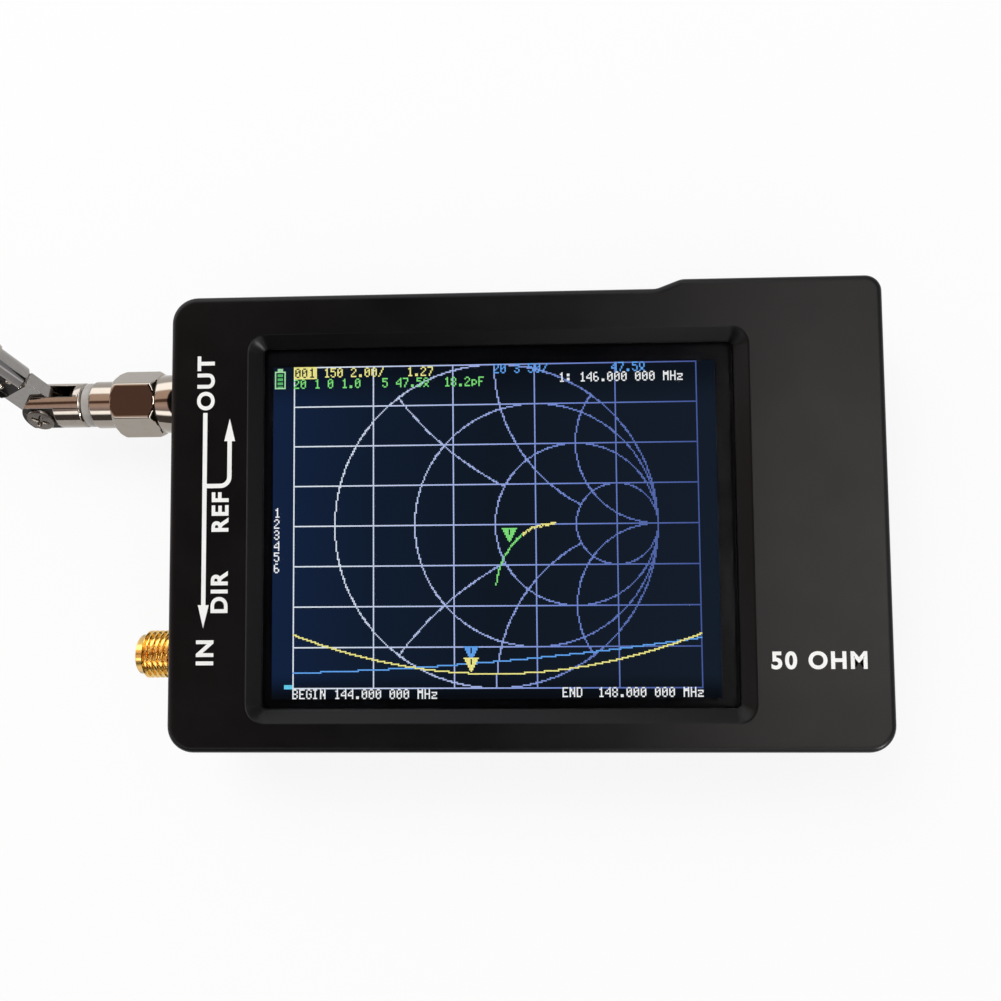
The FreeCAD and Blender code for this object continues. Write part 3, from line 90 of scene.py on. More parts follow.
camera_data = bpy.data.cameras.new("camera")
camera_data.lens = LENS
camera_data.sensor_width = SENSOR
camera_data.clip_start = 0.005
camera = linked("camera", camera_data)
camera.location = Vector(CAMERA_PLACE) * MM
camera.rotation_euler = [math.radians(turn) for turn in CAMERA_TURN]
scene.camera = camera
scene.view_settings.view_transform = "Standard"
print("camera height", round(camera.location.z, 4))

# %% [markdown]
# ## Writing node trees as expressions
# A material's maths reads best as a formula. A Wire holds one output of a node and knows
# plus, minus, times and divide, so `1 - mask * 0.5` adds its Math nodes by itself. A Graph
# makes any other node from its type, its settings and what feeds its sockets. Shader trees
# and geometry trees use the same two classes.

# %% Wires and graphs
class Wire:
    """One output of a node, which does maths as a number does."""

    def __init__(self, graph, socket):
        self.graph = graph
        self.socket = socket

    def maths(self, operation, *terms):
        return self.graph.node("ShaderNodeMath", {"operation": operation}, terms)

    def then(self, operation, *others):
        """Any other maths, with this wire as its first term."""
        return self.maths(operation, self, *others)

    def clamped(self):
        """The same value, kept between 0 and 1."""
        return self.then("MAXIMUM", 0.0).then("MINIMUM", 1.0)

    def __add__(self, other):
        return self.maths("ADD", self, other)

    def __sub__(self, other):
        return self.maths("SUBTRACT", self, other)

    def __mul__(self, other):
        return self.maths("MULTIPLY", self, other)

    def __truediv__(self, other):
        return self.maths("DIVIDE", self, other)

    def __neg__(self):
        return self.maths("MULTIPLY", self, -1)

    def __radd__(self, other):
        return self.maths("ADD", other, self)

    def __rsub__(self, other):
        return self.maths("SUBTRACT", other, self)

    def __rmul__(self, other):
        return self.maths("MULTIPLY", other, self)


class Graph:
    """A node tree whose nodes are made by one method."""

    def __init__(self, tree):
        self.tree = tree

    def node(self, kind, settings=None, inputs=(), output=0):
        """Add a node: settings first, then its sockets by name or number."""
        made = self.tree.nodes.new(kind)
        for name, value in (settings or {}).items():
            if name == "stops":
                while len(made.color_ramp.elements) < len(value):
                    made.color_ramp.elements.new(0.5)
                for stop, (place, colour) in zip(made.color_ramp.elements, value):
                    stop.position = place
                    stop.color = colour
            else:
                setattr(made, name, value)
        pairs = inputs.items() if isinstance(inputs, dict) else enumerate(inputs)
        for key, value in pairs:
            self.feed(made.inputs[key], value)
        return Wire(self, made.outputs[output])

    def feed(self, socket, value):
        if isinstance(value, Wire):
            self.tree.links.new(value.socket, socket)
        elif value is not None:
            socket.default_value = value

    def mix(self, factor, first, second):
        """Blend two colours."""
        return self.node("ShaderNodeMix", {"data_type": "RGBA"}, {0: factor, 6: first, 7: second}, 2)

    def ramp(self, factor, stops):
        """Look a colour up between stops."""
        return self.node("ShaderNodeValToRGB", {"stops": stops}, [factor])

    def step(self, value, low, high):
        """Rise smoothly from 0 to 1 between two levels."""
        sockets = {"Value": value, "From Min": low, "From Max": high}
        return self.node("ShaderNodeMapRange", {"interpolation_type": "SMOOTHSTEP"}, sockets)


def linear(red, green, blue):
    """A colour with levels from 0 to 255, as a screen has it, in the renderer's linear scale."""
    levels = [level / 255 for level in (red, green, blue)]
    light = [v / 12.92 if v <= 0.04045 else ((v + 0.055) / 1.055) ** 2.4 for v in levels]
    return (*light, 1.0)


# %% [markdown]
# ## One way to mix a finish
# Nearly every surface here is a Principled shader with a little unevenness: moulded plastic
# has a spark-eroded grain, plating has faint ripples, and both carry dust and wear. A Finish
# starts such a material. Constant values go straight onto the shader's sockets, and only the
# colour, roughness and bump vary over the surface.

# %% Finishes
class Paint(Graph):
    """The node tree of a new material, which may end in any shader."""

    def __init__(self, name):
        self.material = bpy.data.materials.new(name)
        self.material.use_nodes = True
        super().__init__(self.material.node_tree)

    def end(self, shader):
        """End in this shader and not in the Principled one."""
        self.tree.nodes.remove(self.tree.nodes["Principled BSDF"])
        self.feed(self.tree.nodes["Material Output"].inputs["Surface"], shader)
        return self.material


class Finish(Paint):
    """A Principled material that reads the object's own coordinates in millimetres."""

    def __init__(self, name):
        super().__init__(name)
        self.shader = self.tree.nodes["Principled BSDF"]
        place = self.node("ShaderNodeTexCoord", output="Object")
        scale = {"operation": "SCALE"}
        self.place = self.node("ShaderNodeVectorMath", scale, {0: place, "Scale": 1 / MM})

    def noise(self, per_mm, detail=2.0, rough=0.5):
        sockets = {"Vector": self.place, "Scale": per_mm, "Detail": detail, "Roughness": rough}
        return self.node("ShaderNodeTexNoise", None, sockets, "Fac")

    def bump(self, height, strength, depth_mm):
        sockets = {"Height": height, "Strength": strength, "Distance": depth_mm * MM}
        return self.node("ShaderNodeBump", None, sockets)

    def set(self, **values):
        """Feed the shader's sockets; underscores stand for spaces."""
        for name, value in values.items():
            self.feed(self.shader.inputs[name.replace("_", " ")], value)
        return self.material


def moulded(name, colour, pale, roughness, per_mm=7.0, depth=0.012, strength=0.35, gloss=0.5):
    """Moulded plastic: spark grain, faint handling marks and a paler dust in the grain."""
    finish = Finish(name)
    grain = finish.noise(per_mm, 3.0, 0.6)
    marks = finish.noise(0.12, 4.0, 0.65)
    tone = finish.mix(finish.step(marks, 0.35, 0.75) * 0.6 + grain * 0.25, colour, pale)
    return finish.set(
        Base_Color=tone,
        Roughness=roughness + (marks - 0.5) * 0.14 + (grain - 0.5) * 0.1,
        Normal=finish.bump(grain, strength, depth),
        Specular_IOR_Level=gloss,
    )


def plated(name, colour, dull, roughness, ripple=0.25, ripple_per_mm=0.9):
    """Plated metal: faint ripples under the plating and a few duller patches."""
    finish = Finish(name)
    ripples = finish.noise(ripple_per_mm, 2.0, 0.45)
    specks = finish.noise(6.0, 3.0, 0.6)
    wear = finish.step(finish.noise(0.5, 4.0, 0.6), 0.48, 0.72)
    return finish.set(
        Base_Color=finish.mix(wear * 0.5 + specks * 0.2, colour, dull),
        Metallic=1.0,
        Roughness=roughness + wear * 0.06 + specks * 0.04,
        Normal=finish.bump(ripples + specks * 0.06, ripple, 0.02),
    )


FINISHES = {
    "case_plastic": moulded("case_plastic", linear(4, 4, 6), linear(9, 9, 10), 0.33, gloss=0.13),
    "white_plastic": moulded(
        "white_plastic", linear(164, 159, 153), linear(150, 145, 140), 0.34, 3.0, 0.006
    ),
    "board_laminate": moulded("board_laminate", linear(18, 62, 40), linear(30, 84, 56), 0.4, 2.5, 0.02),
    "chip_plastic": moulded("chip_plastic", linear(30, 30, 31), linear(46, 46, 47), 0.6),
    "socket_plastic": moulded("socket_plastic", linear(205, 198, 176), linear(186, 178, 156), 0.5),
    "switch_plastic": moulded("switch_plastic", linear(24, 24, 25), linear(38, 38, 38), 0.42),
    "foam": moulded("foam", linear(52, 52, 54), linear(84, 84, 86), 0.95, 4.0, 0.2, 0.9),
    "wire_jacket": moulded("wire_jacket", linear(150, 22, 20), linear(172, 44, 38), 0.45),
    "flex_film": moulded("flex_film", linear(150, 92, 24), linear(172, 112, 40), 0.3, 1.2, 0.02),
    "tinned_steel": plated("tinned_steel", linear(196, 197, 200), linear(160, 161, 165), 0.26),
    "screw_steel": plated("screw_steel", linear(92, 92, 95), linear(60, 60, 62), 0.3),
    "gold_plate": plated("gold_plate", linear(232, 190, 104), linear(190, 146, 72), 0.16),
    "chrome_plate": plated("chrome_plate", linear(155, 147, 138), linear(147, 140, 131), 0.05, 0.1),
    "pouch_foil": plated("pouch_foil", linear(188, 190, 194), linear(160, 162, 168), 0.34, 0.6, 0.3),
    "display_glass": moulded(
        "display_glass", linear(3, 4, 7), linear(5, 6, 10), 0.2, 0.5, 0.001, 0.1, 0.05
    ),
}
print(len(FINISHES), "finishes")

# %% [markdown]
# ## The touch panel's glass
# The touch panel is a clear pane over the display. It is real glass here, so that the lit
# picture shows through it and the surroundings still shine on it. Fingers leave a faint
# smear, which only changes the roughness a little.

# %% Clear pane
pane = Finish("touch_film")
smear = pane.step(pane.noise(0.09, 4.0, 0.6), 0.5, 0.75)
FINISHES["touch_film"] = pane.set(
    Base_Color=(1.0, 1.0, 1.0, 1.0), Transmission_Weight=1.0, IOR=1.45, Roughness=smear * 0.012
)
for row in frame["record"]["subparts"]:
    solid = NODES[row["node"]]
    finish = FINISHES[row["material_slot"]]
    if not solid.data.materials:
        solid.data.materials.append(finish)
    for used in solid.material_slots:
        used.material = finish

# %% [markdown]
# ## Turning a solid into a finished piece
# A solid arrives as loose triangles. A copy is merged, its flat faces are joined again, and
# its sharp corners get a small round edge, as any moulded or plated edge has. That edge is
# what catches the light. Weighted normals keep the flat faces beside it flat.

# %% Edged copies
def add_piece(name, mesh, body, slot, *replaced, finish=None):
    """Give a mesh its object, its body, its finish and the solids it stands for."""
    piece = linked(name, mesh)
    if finish or not mesh.materials:
        mesh.materials.clear()
        mesh.materials.append(finish or FINISHES[slot])
    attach(piece, body)
    if replaced:
        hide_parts(*replaced)
    print(name, len(mesh.polygons), "faces")
    return piece


def smooth(mesh, degrees=32):
    """Shade a mesh smoothly but keep its real corners."""
    mesh.shade_smooth()
    mesh.set_sharp_from_angle(angle=math.radians(degrees))
    return mesh


def of_body(node):
    """The body that a solid rides on."""
    return NODES[node]["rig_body"]


def merged(node):
    """A working copy of a solid, with its loose triangles joined."""
    shape = bmesh.new()
    shape.from_mesh(NODES[node].data)
    bmesh.ops.remove_doubles(shape, verts=shape.verts, dist=1e-7)
    return shape


def mesh_of(shape, name):
    """Turn a working copy into a mesh, and free it."""
    mesh = bpy.data.meshes.new(name)
    shape.to_mesh(mesh)
    shape.free()
    return mesh


def edged(node, slot, edge_mm):
    """A copy of a solid with whole flat faces and rounded corners."""
    shape = merged(node)
    limits = {"angle_limit": math.radians(0.5), "delimit": {"NORMAL"}}
    bmesh.ops.dissolve_limit(shape, verts=shape.verts, edges=shape.edges, **limits)
    mesh = mesh_of(shape, node)
    mesh.shade_smooth()
    piece = add_piece(node.replace("_", "-"), mesh, of_body(node), slot, node)
    bevel = piece.modifiers.new("edge", "BEVEL")
    bevel.width = edge_mm * MM
    bevel.segments = 2
    bevel.limit_method = "ANGLE"
    bevel.angle_limit = math.radians(40)
    bevel.use_clamp_overlap = False
    flats = piece.modifiers.new("flats", "WEIGHTED_NORMAL")
    flats.mode = "FACE_AREA"
    flats.weight = 50
    flats.keep_sharp = False
    return piece


# %% [markdown]
# ## Round parts
# The ports, the nut, the elbow's screw and the mast are turned parts. A lathe function
# sweeps a half section round a line: each point of the section is a ring. Its radius or its
# height may change from point to point, which is how a hexagon or a cross recess comes out
# of the same tool. A matrix places the result: its first direction is the part's own axis.

# %% Lathe
PORT_HEIGHT = 8.4
ANTENNA_Y = 16.705
MEASURE_Y = -17.645


def lathe(name, section, steps, line, shift=None):
    """Turn a closed section of (along, radius) in millimetres about a line's first axis."""
    shape = bmesh.new()
    rings = []
    for number, (along, radius) in enumerate(section):
        ring = []
        for step in range(steps):
            turn = math.tau * step / steps
            x, r = shift(number, along, radius, turn) if shift else (along, radius)
            place = line @ Vector((x, r * math.cos(turn), r * math.sin(turn)))
            ring.append(shape.verts.new(place * MM))
        rings.append(ring)
    for first, second in zip(rings, rings[1:] + rings[:1]):
        for step in range(steps):
            following = (step + 1) % steps
            shape.faces.new((first[step], first[following], second[following], second[step]))
    bmesh.ops.remove_doubles(shape, verts=shape.verts, dist=1e-8)
    bmesh.ops.recalc_face_normals(shape, faces=shape.faces)
    return smooth(mesh_of(shape, name))


def softened(corners, edge):
    """Round the corners of a closed section with three points each, but not those on the axis."""
    bulge = 0.3
    points = [Vector(corner) for corner in corners]
    section = []
    for before, here, after in zip(points[-1:] + points[:-1], points, points[1:] + points[:1]):
        if here.y == 0:
            section.append(tuple(here))
            continue
        back = (before - here).normalized() * edge
        ahead = (after - here).normalized() * edge
        rounded = (here + back, here + (back + ahead) * bulge, here + ahead)
        section += [tuple(point) for point in rounded]
    return section


def port_line(y):
    """The line of a coaxial port, which runs along X."""
    return Matrix.Translation((0, y, PORT_HEIGHT))


# %% [markdown]
# ## Trees that make geometry
# Geometry Nodes suit what repeats or follows a rule. A recipe starts such a tree with named
# sizes, and grow runs it on a base mesh and keeps the plain mesh that comes out, because an
# export needs real geometry.

# %% Geometry trees
def recipe(name, *sizes):
    """Start a geometry tree with named sizes. It gives the graph and its inputs as wires."""
    tree = bpy.data.node_groups.new(name, "GeometryNodeTree")
    tree.interface.new_socket("Geometry", in_out="INPUT", socket_type="NodeSocketGeometry")
    for label in sizes:
        tree.interface.new_socket(label, in_out="INPUT", socket_type="NodeSocketFloat")
    tree.interface.new_socket("Geometry", in_out="OUTPUT", socket_type="NodeSocketGeometry")
    graph = Graph(tree)
    start = tree.nodes.new("NodeGroupInput")
    wires = {socket.name: Wire(graph, socket) for socket in start.outputs if socket.name}
    return graph, wires


def finish_recipe(graph, geometry, material):
    """End a tree: real geometry with its material."""
    real = graph.node("GeometryNodeRealizeInstances", None, [geometry])
    dressed = graph.node("GeometryNodeSetMaterial", None, {"Geometry": real, "Material": material})
    end = graph.tree.nodes.new("NodeGroupOutput")
    graph.feed(end.inputs[0], dressed)
    return graph.tree


def frozen(host, name):
    """The mesh that an object's curve or modifiers make. The object itself goes."""
    graph = bpy.context.evaluated_depsgraph_get()
    mesh = bpy.data.meshes.new_from_object(host.evaluated_get(graph))
    bpy.data.objects.remove(host)
    mesh.name = name
    return mesh


def grow(name, tree, base, **sizes):
    """Run a tree on a base mesh, with its sizes in millimetres, and keep the plain mesh."""
    host = linked(name, base)
    modifier = host.modifiers.new("recipe", "NODES")
    modifier.node_group = tree
    for item in tree.interface.items_tree:
        if item.in_out == "INPUT" and item.name in sizes:
            modifier[item.identifier] = sizes[item.name] * MM
    return frozen(host, name)


# %% [markdown]
# ## The threaded ports
# Each port has a quarter inch thread of 36 turns to the inch. The thread is one helix, so
# how deep a point lies depends only on its distance along the axis and its angle: a rule,
# and so a geometry tree. The tree takes a plain barrel of fine rings and draws each point
# in towards the axis. The crests stay flat, the valleys are round, and both ends fade out.

# %% Thread tree
graph, wires = recipe("thread", "Pitch", "Depth", "Start", "End", "Core", "LineY", "LineZ")
position = graph.node("GeometryNodeInputPosition")
x, y, z = [graph.node("ShaderNodeSeparateXYZ", None, [position], axis) for axis in "XYZ"]
y = y - wires["LineY"]
z = z - wires["LineZ"]
radius = (y * y + z * z).then("SQRT")
turns = (x - wires["Start"]) / wires["Pitch"] + z.then("ARCTAN2", y) / math.tau
valley = (0.5 - 1.3 * (turns * math.tau).then("COSINE")).clamped()
fade_in = (x - wires["Start"]) / (0.3 * MM)
fade_out = (wires["End"] - x) / (0.2 * MM)
ends = fade_in.then("MINIMUM", fade_out).clamped()
outside = radius.then("GREATER_THAN", wires["Core"])
share = -(wires["Depth"] * valley * ends * outside) / radius
offset = graph.node("ShaderNodeCombineXYZ", None, {"Y": y * share, "Z": z * share})
cut = graph.node("GeometryNodeSetPosition", None, {"Geometry": wires["Geometry"], "Offset": offset})
thread_tree = finish_recipe(graph, cut, FINISHES["gold_plate"])

# %% [markdown]
# The barrel starts as a lathed section: mouth, lip, the length for the thread, the neck
# inside the case and the socket. The jack's square flange and legs are kept from the solid.

# %% Ports
THREAD = {"Pitch": 25.4 / 36, "Depth": 0.36, "Core": 2.9, "LineZ": PORT_HEIGHT}
PORT_TIP = -52.25
THREAD_START = -51.15
THREAD_END = -45.45
PORT_NECK_END = -41.9
FLANGE_PLANE = -43.3


def barrel(name, y):
    """The jack's visible barrel with its thread."""
    outside = 6.35 / 2
    lip = 5.3 / 2
    mouth = 4.6 / 2
    bore = 4.1 / 2
    neck = 5.6 / 2
    back = PORT_TIP + 1.9
    edge = 0.12
    rings = 96
    spacing = (THREAD_END - THREAD_START) / rings
    section = [(PORT_TIP + edge, mouth), (PORT_TIP, mouth + 0.1)]
    section += [(PORT_TIP, lip - edge), (PORT_TIP + edge, lip)]
    section += [(THREAD_START - 0.25, lip), (THREAD_START - 0.2, lip + 0.05)]
    section += [(THREAD_START + spacing * n, outside) for n in range(rings + 1)]
    section += [(THREAD_END, neck), (PORT_NECK_END, neck), (PORT_NECK_END, bore)]
    section += [(back, bore), (back, mouth)]
    plain = lathe(name, section, 72, port_line(y))
    sizes = {"Start": THREAD_START, "End": THREAD_END, "LineY": y, **THREAD}
    return smooth(grow(name, thread_tree, plain, **sizes))


def rear_of_port(node):
    """What stands inside the case: the jack's flange and legs, cut off the solid."""
    shape = merged(node)
    parts = shape.verts[:] + shape.edges[:] + shape.faces[:]
    plane = {"plane_co": Vector((FLANGE_PLANE, 0, 0)) * MM, "plane_no": (1, 0, 0)}
    split = bmesh.ops.bisect_plane(shape, geom=parts, clear_inner=True, **plane)
    rim = [item for item in split["geom_cut"] if isinstance(item, bmesh.types.BMEdge)]
    bmesh.ops.triangle_fill(shape, edges=rim, use_beauty=True)
    bmesh.ops.recalc_face_normals(shape, faces=shape.faces)
    return smooth(mesh_of(shape, node))


def join(name, *meshes):
    """Several meshes as one."""
    shape = bmesh.new()
    for mesh in meshes:
        shape.from_mesh(mesh)
    return smooth(mesh_of(shape, name))


for label, y in (("antenna_port", ANTENNA_Y), ("measure_port", MEASURE_Y)):
    jack = join(label, barrel(label, y), rear_of_port(f"{label}_body"))
    add_piece(f"{label}_jack", jack, "analyzer", "gold_plate", f"{label}_body")

# %% [markdown]
# ## The coupling nut
# The nut is turned from a hexagonal bar. The lathe cuts its skirt round and takes the
# corners off both ends of the hexagon, which leaves each flat as a rounded rectangle. The
# radius at a point is the smaller of the hexagon's and the turned profile's, blended over a
# few hundredths, and the plating's soft edges come from that blend.

# %% Coupling nut
NUT_TURN = math.radians(2)
NUT_FLAT = 4.0
NUT_OPEN = -45.95
HEX_START = -49.6
HEX_END = -55.7
NUT_WALL = -53.3
NUT_SOFTNESS = 0.09


def soft_min(first, second, width):
    """The smaller of two lengths, with the change between them rounded."""
    gap = max(width - abs(first - second), 0) / width
    return min(first, second) - gap * gap * width / 4


def nut_mesh():
    """The nut: bore, skirt, necked shoulder, hexagon and end wall."""
    bore = 3.235
    hole = 2.66
    skirt = 4.0
    shoulder = 3.93
    rise = 0.69
    run = 0.8
    corner = 4.56
    rings = 40
    section = [(NUT_OPEN, bore), (NUT_OPEN, skirt - 0.3)]
    section += [(NUT_OPEN - 0.1, skirt - 0.09), (NUT_OPEN - 0.3, skirt)]
    section += [(HEX_START + 0.25, skirt), (HEX_START + 0.08, skirt - 0.06), (HEX_START, skirt)]
    first = len(section)
    length = HEX_START - HEX_END
    for n in range(rings + 1):
        along = length * n / rings
        slope = min(min(along, length - along) / run, 1.0) ** 0.6
        section.append((HEX_START - along, shoulder + rise * slope))
    last = len(section)
    section += [(HEX_END, 3.4), (HEX_END, hole), (NUT_WALL, hole), (NUT_WALL, bore)]

    def hexagonal(number, along, radius, turn):
        if not first <= number < last:
            return along, radius
        sector = (turn - NUT_TURN) % (math.pi / 3) - math.pi / 6
        bar = min(NUT_FLAT / math.cos(sector), corner)
        return along, soft_min(bar, radius, NUT_SOFTNESS)

    return lathe("coupling_nut", section, 216, port_line(ANTENNA_Y), hexagonal)


add_piece("screw_coupling", nut_mesh(), "coupling_nut", "chrome_plate", "coupling_nut")

# %% [markdown]
# ## The ferrule and the bush
# These solids already have the right shape, and only lack the small round edges that
# plating gives. The plug's inner pieces are hidden in the nut and stay as they are.

# %% Ferrule and bush
edged("antenna_ferrule", "chrome_plate", 0.08)
edged("insulating_bush", "white_plastic", 0.08)

# %% [markdown]
# ## The elbow's screw
# A round head with a cross recess lies on the elbow's flat, on the side that faces the
# picture's lower edge. The head is a fine disc of rings, and a point inside the cross sinks.

# %% Elbow screw
TILT = math.radians(55)
FOLD = math.radians(61)
PIVOT = Vector((-66.42, ANTENNA_Y, PORT_HEIGHT))
ACROSS = Vector((0, math.cos(TILT), math.sin(TILT)))
HINGE = Vector((-1, 0, 0)).cross(ACROSS)
MAST = Vector((-1, 0, 0)) * math.cos(FOLD) + ACROSS * math.sin(FOLD)


def aimed(origin, axis, second):
    """A line at a point, as a matrix from its first two directions."""
    rows = Matrix((axis, second, axis.cross(second))).transposed()
    return Matrix.Translation(origin) @ rows.to_4x4()


def screw_mesh():
    """The screw: a domed head with a cross in it, and the shank behind it."""
    flat = 2.4
    top = flat + 0.5
    edge = 1.8
    shank = 0.99
    rings = 24
    cross_turn = 0.5
    slot_half = 0.26
    arm = 1.15
    deepest = 0.42
    dome = 0.06
    section = [(top, 0.0)]
    section += [(top, edge * 0.88 * n / rings) for n in range(1, rings + 1)]
    section += [(top - 0.07, edge * 0.96), (top - 0.2, edge)]
    section += [(flat + 0.02, edge), (flat, edge - 0.02)]
    section += [(flat, shank), (0.05 - flat, shank), (-flat, shank - 0.05), (-flat, 0.0)]

    def cross(number, along, radius, turn):
        if number > rings:
            return along, radius
        u = abs(radius * math.cos(turn + cross_turn))
        v = abs(radius * math.sin(turn + cross_turn))
        within_arm = max(0.0, min(1.0, (arm - max(u, v)) * 4))
        inside = max(slot_half - min(u, v) * 0.9, 0) * 3 * within_arm
        return along - min(inside, deepest) - dome * (radius / edge) ** 2, radius

    return lathe("hinge_screw", section, 96, aimed(PIVOT, -HINGE, Vector((-1, 0, 0))), cross)


worn = plated("worn_screw", linear(112, 106, 100), linear(52, 49, 46), 0.2, 0.3, 1.6)
add_piece("elbow_screw", screw_mesh(), "swivel_head", "chrome_plate", "hinge_screw", finish=worn)

# %% [markdown]
# ## The telescopic mast
# Three tubes and a rod run in one another, each half a millimetre smaller in radius than
# the one before it. One rule gives all the sections, and the lathe turns them finer than
# the solids are, because long bright tubes show every facet.

# %% Mast
FOOT_END = 9.5
FOOT_PLUG_END = 14.5
MAST_END = 67.5
STAGGER = 1.2
RUNNING_GAP = 0.06
TUBE_WALL = 0.4
TUBE_RADIUS = 3.0
RADIUS_STEP = 0.5
COLLAR_LENGTH = 3.0
LIP_LENGTH = 2.5
TUBE_EDGE = 0.03
TIP_LENGTH = 3.59
TIP_RADIUS = 2.79
TIP_EDGE = 0.2
ROD = 3
mast_line = aimed(PIVOT, MAST, HINGE)


def outside_of(number):
    """The outer radius of a section, counted from the foot."""
    return TUBE_RADIUS - RADIUS_STEP * number


def far_end(number):
    """Where a section ends along the mast."""
    return MAST_END + number * STAGGER


def near_part(number):
    """A section's near end: a collar, which the lip of the tube before it keeps in."""
    outside = outside_of(number)
    if number == 0:
        return [(FOOT_END, outside)]
    near = FOOT_PLUG_END + number * STAGGER
    collar = outside + RADIUS_STEP - TUBE_WALL - RUNNING_GAP
    return [(near, collar), (near + COLLAR_LENGTH, collar), (near + COLLAR_LENGTH, outside)]


def tube_section(number):
    """A tube's half section, with a rolled lip at its far end."""
    outside = outside_of(number)
    inside = outside - TUBE_WALL
    lip = outside - RADIUS_STEP + RUNNING_GAP / 2
    foot = near_part(number)
    far = far_end(number)
    roll = [(far - 0.4, outside), (far, outside - 0.25)]
    mouth = [(far, lip), (far - LIP_LENGTH, lip), (far - LIP_LENGTH, inside)]
    return [(foot[0][0], inside)] + foot + roll + mouth


def add_turned(node, section, edge):
    """A turned piece of the mast in place of its solid."""
    turned = lathe(node, softened(section, edge), 96, mast_line)
    add_piece(node.replace("_", "-"), turned, of_body(node), "chrome_plate", node)


for number in range(ROD):
    add_turned(f"mast_tube_{number + 1}", tube_section(number), TUBE_EDGE)

rod_foot = near_part(ROD)
rod_far = far_end(ROD)
rod = [(rod_foot[0][0], 0)] + rod_foot + [(rod_far, outside_of(ROD)), (rod_far, 0)]
add_turned("mast_rod", rod, TUBE_EDGE)
top = rod_far + TIP_LENGTH
tip = [(rod_far, 0), (rod_far, TIP_RADIUS - 0.4), (rod_far + 0.4, TIP_RADIUS)]
tip += [(top - 1.0, TIP_RADIUS), (top, TIP_RADIUS - 1.0), (top, 0)]
add_turned("mast_tip", tip, TIP_EDGE)

# %% [markdown]
# ## Painted shade in the elbow
# The flat under the screw and the recess in the mast's foot are painted dark: this is painted
# shade, for the hollow of the recess and for faces turned away from the light. Both lie on the
# screw's side, so how far a point is from the middle plane of the fold tells the plain plating
# from the painted shade.

# %% Elbow and foot
def shaded_in_box(name, clean, depths, lengths, half_width):
    """Plating with painted shade in a box: between two depths and two lengths along the mast."""
    finish = Finish(name)
    less = {"operation": "SUBTRACT"}
    dot_with = {"operation": "DOT_PRODUCT"}
    from_pivot = finish.node("ShaderNodeVectorMath", less, {0: finish.place, 1: PIVOT})
    depth, along, across = [
        finish.node("ShaderNodeVectorMath", dot_with, {0: from_pivot, 1: way}, "Value")
        for way in (-HINGE, MAST, HINGE.cross(MAST))
    ]
    specks = finish.noise(1.6, 4.0, 0.65)
    # The dark box is painted shade, mottled by the specks; the dulled specks everywhere are wear.
    painted_shade = finish.step(specks, 0.2, 0.42)
    box = ((depth, depths), (along, lengths), (across.then("ABSOLUTE"), (-1.0, half_width)))
    for value, (low, high) in box:
        painted_shade = painted_shade * finish.step(value, low - 0.06, low - 0.02)
        painted_shade = painted_shade * (1 - finish.step(value, high, high + 0.05))
    dulled = finish.mix(specks * 0.5, clean, linear(96, 92, 88))
    return finish.set(
        Base_Color=finish.mix(painted_shade, dulled, linear(34, 31, 29)),
        Metallic=1 - painted_shade * 0.4,
        Roughness=painted_shade * 0.3 + 0.06 + specks * 0.04,
        Normal=finish.bump(specks, 0.12, 0.02),
    )


# Painted shade: the flat under the screw and the foot's recess are darkened in their colour.
elbow_plate = shaded_in_box("elbow_plate", linear(160, 152, 143), (2.4, 2.42), (-9.0, 9.0), 9.0)
foot_plate = shaded_in_box("foot_plate", linear(150, 147, 144), (1.0, 2.5), (4.5, 8.72), 1.82)
edged("swivel_head", "chrome_plate", 0.12).data.materials[0] = elbow_plate
edged("mast_foot", "chrome_plate", 0.1).data.materials[0] = foot_plate

# %% [markdown]
# ## The case
# Two moulded shells meet along the middle of the sides. A small round edge on both makes
# the seam a fine dark line, as on the real case.

# %% Case
edged("front_shell", "case_plastic", 0.16)
edged("rear_shell", "case_plastic", 0.16)

# %% [markdown]
# ## What the screen shows
# The display has 320 by 240 square pixels, 0.18 mm apart. The picture is drawn in pixels
# first, in a plain table of place and colour: a grid, a round impedance chart, three
# traces, markers and rows of numbers. Each lit pixel then becomes a small glowing square.

# %% Pixel table
PIXEL = 0.18
SCREEN_X = -3.9
SCREEN_Y = -1.37
COLUMNS = 320
ROWS = 240
GRID_LEFT = 15
GRID_RIGHT = 306
GRID_LOW = 232
lit = {}


def dot(x, y, colour):
    """Light one pixel."""
    x, y = int(round(x)), int(round(y))
    if 0 <= x < COLUMNS and 0 <= y < ROWS:
        lit[x, y] = colour


GRID_TONES = [(40, 232, 242, 255), (150, 172, 190, 248), (210, 124, 148, 226), (306, 76, 96, 165)]


def grid_colour(x):
    """The grid's blue: nearly white at the left and deeper to the right, as the slant view shows it."""
    if x <= GRID_TONES[0][0]:
        return GRID_TONES[0][1:]
    for (x0, *first), (x1, *second) in zip(GRID_TONES, GRID_TONES[1:]):
        if x <= x1:
            share = (x - x0) / (x1 - x0)
            return tuple(a + (b - a) * share for a, b in zip(first, second))
    return GRID_TONES[-1][1:]


for column in range(6):
    x = GRID_LEFT + (GRID_RIGHT - GRID_LEFT) * column / 5
    for y in range(GRID_LOW + 1):
        dot(x, y, grid_colour(x))
for line in range(9):
    for x in range(GRID_LEFT, GRID_RIGHT + 1):
        dot(x, GRID_LOW * line / 8, grid_colour(x))

CHART_X = 161
CHART_Y = 116
CHART_R = 116
RIGHT_X = CHART_X + CHART_R
RESISTANCE_RINGS = (87, 58, 29)
REACTANCE_ARCS = ((232, 58), (116, 29), (58, 0))


def ring(centre_x, centre_y, radius, shown=lambda x, y: True):
    """A circle, or the part of it where shown says yes."""
    steps = int(radius * 9)
    for step in range(steps):
        turn = math.tau * step / steps
        x = centre_x + radius * math.cos(turn)
        y = centre_y + radius * math.sin(turn)
        if shown(x, y):
            dot(x, y, grid_colour(x))


def within_chart(x, y):
    return math.hypot(x - CHART_X, y - CHART_Y) <= CHART_R


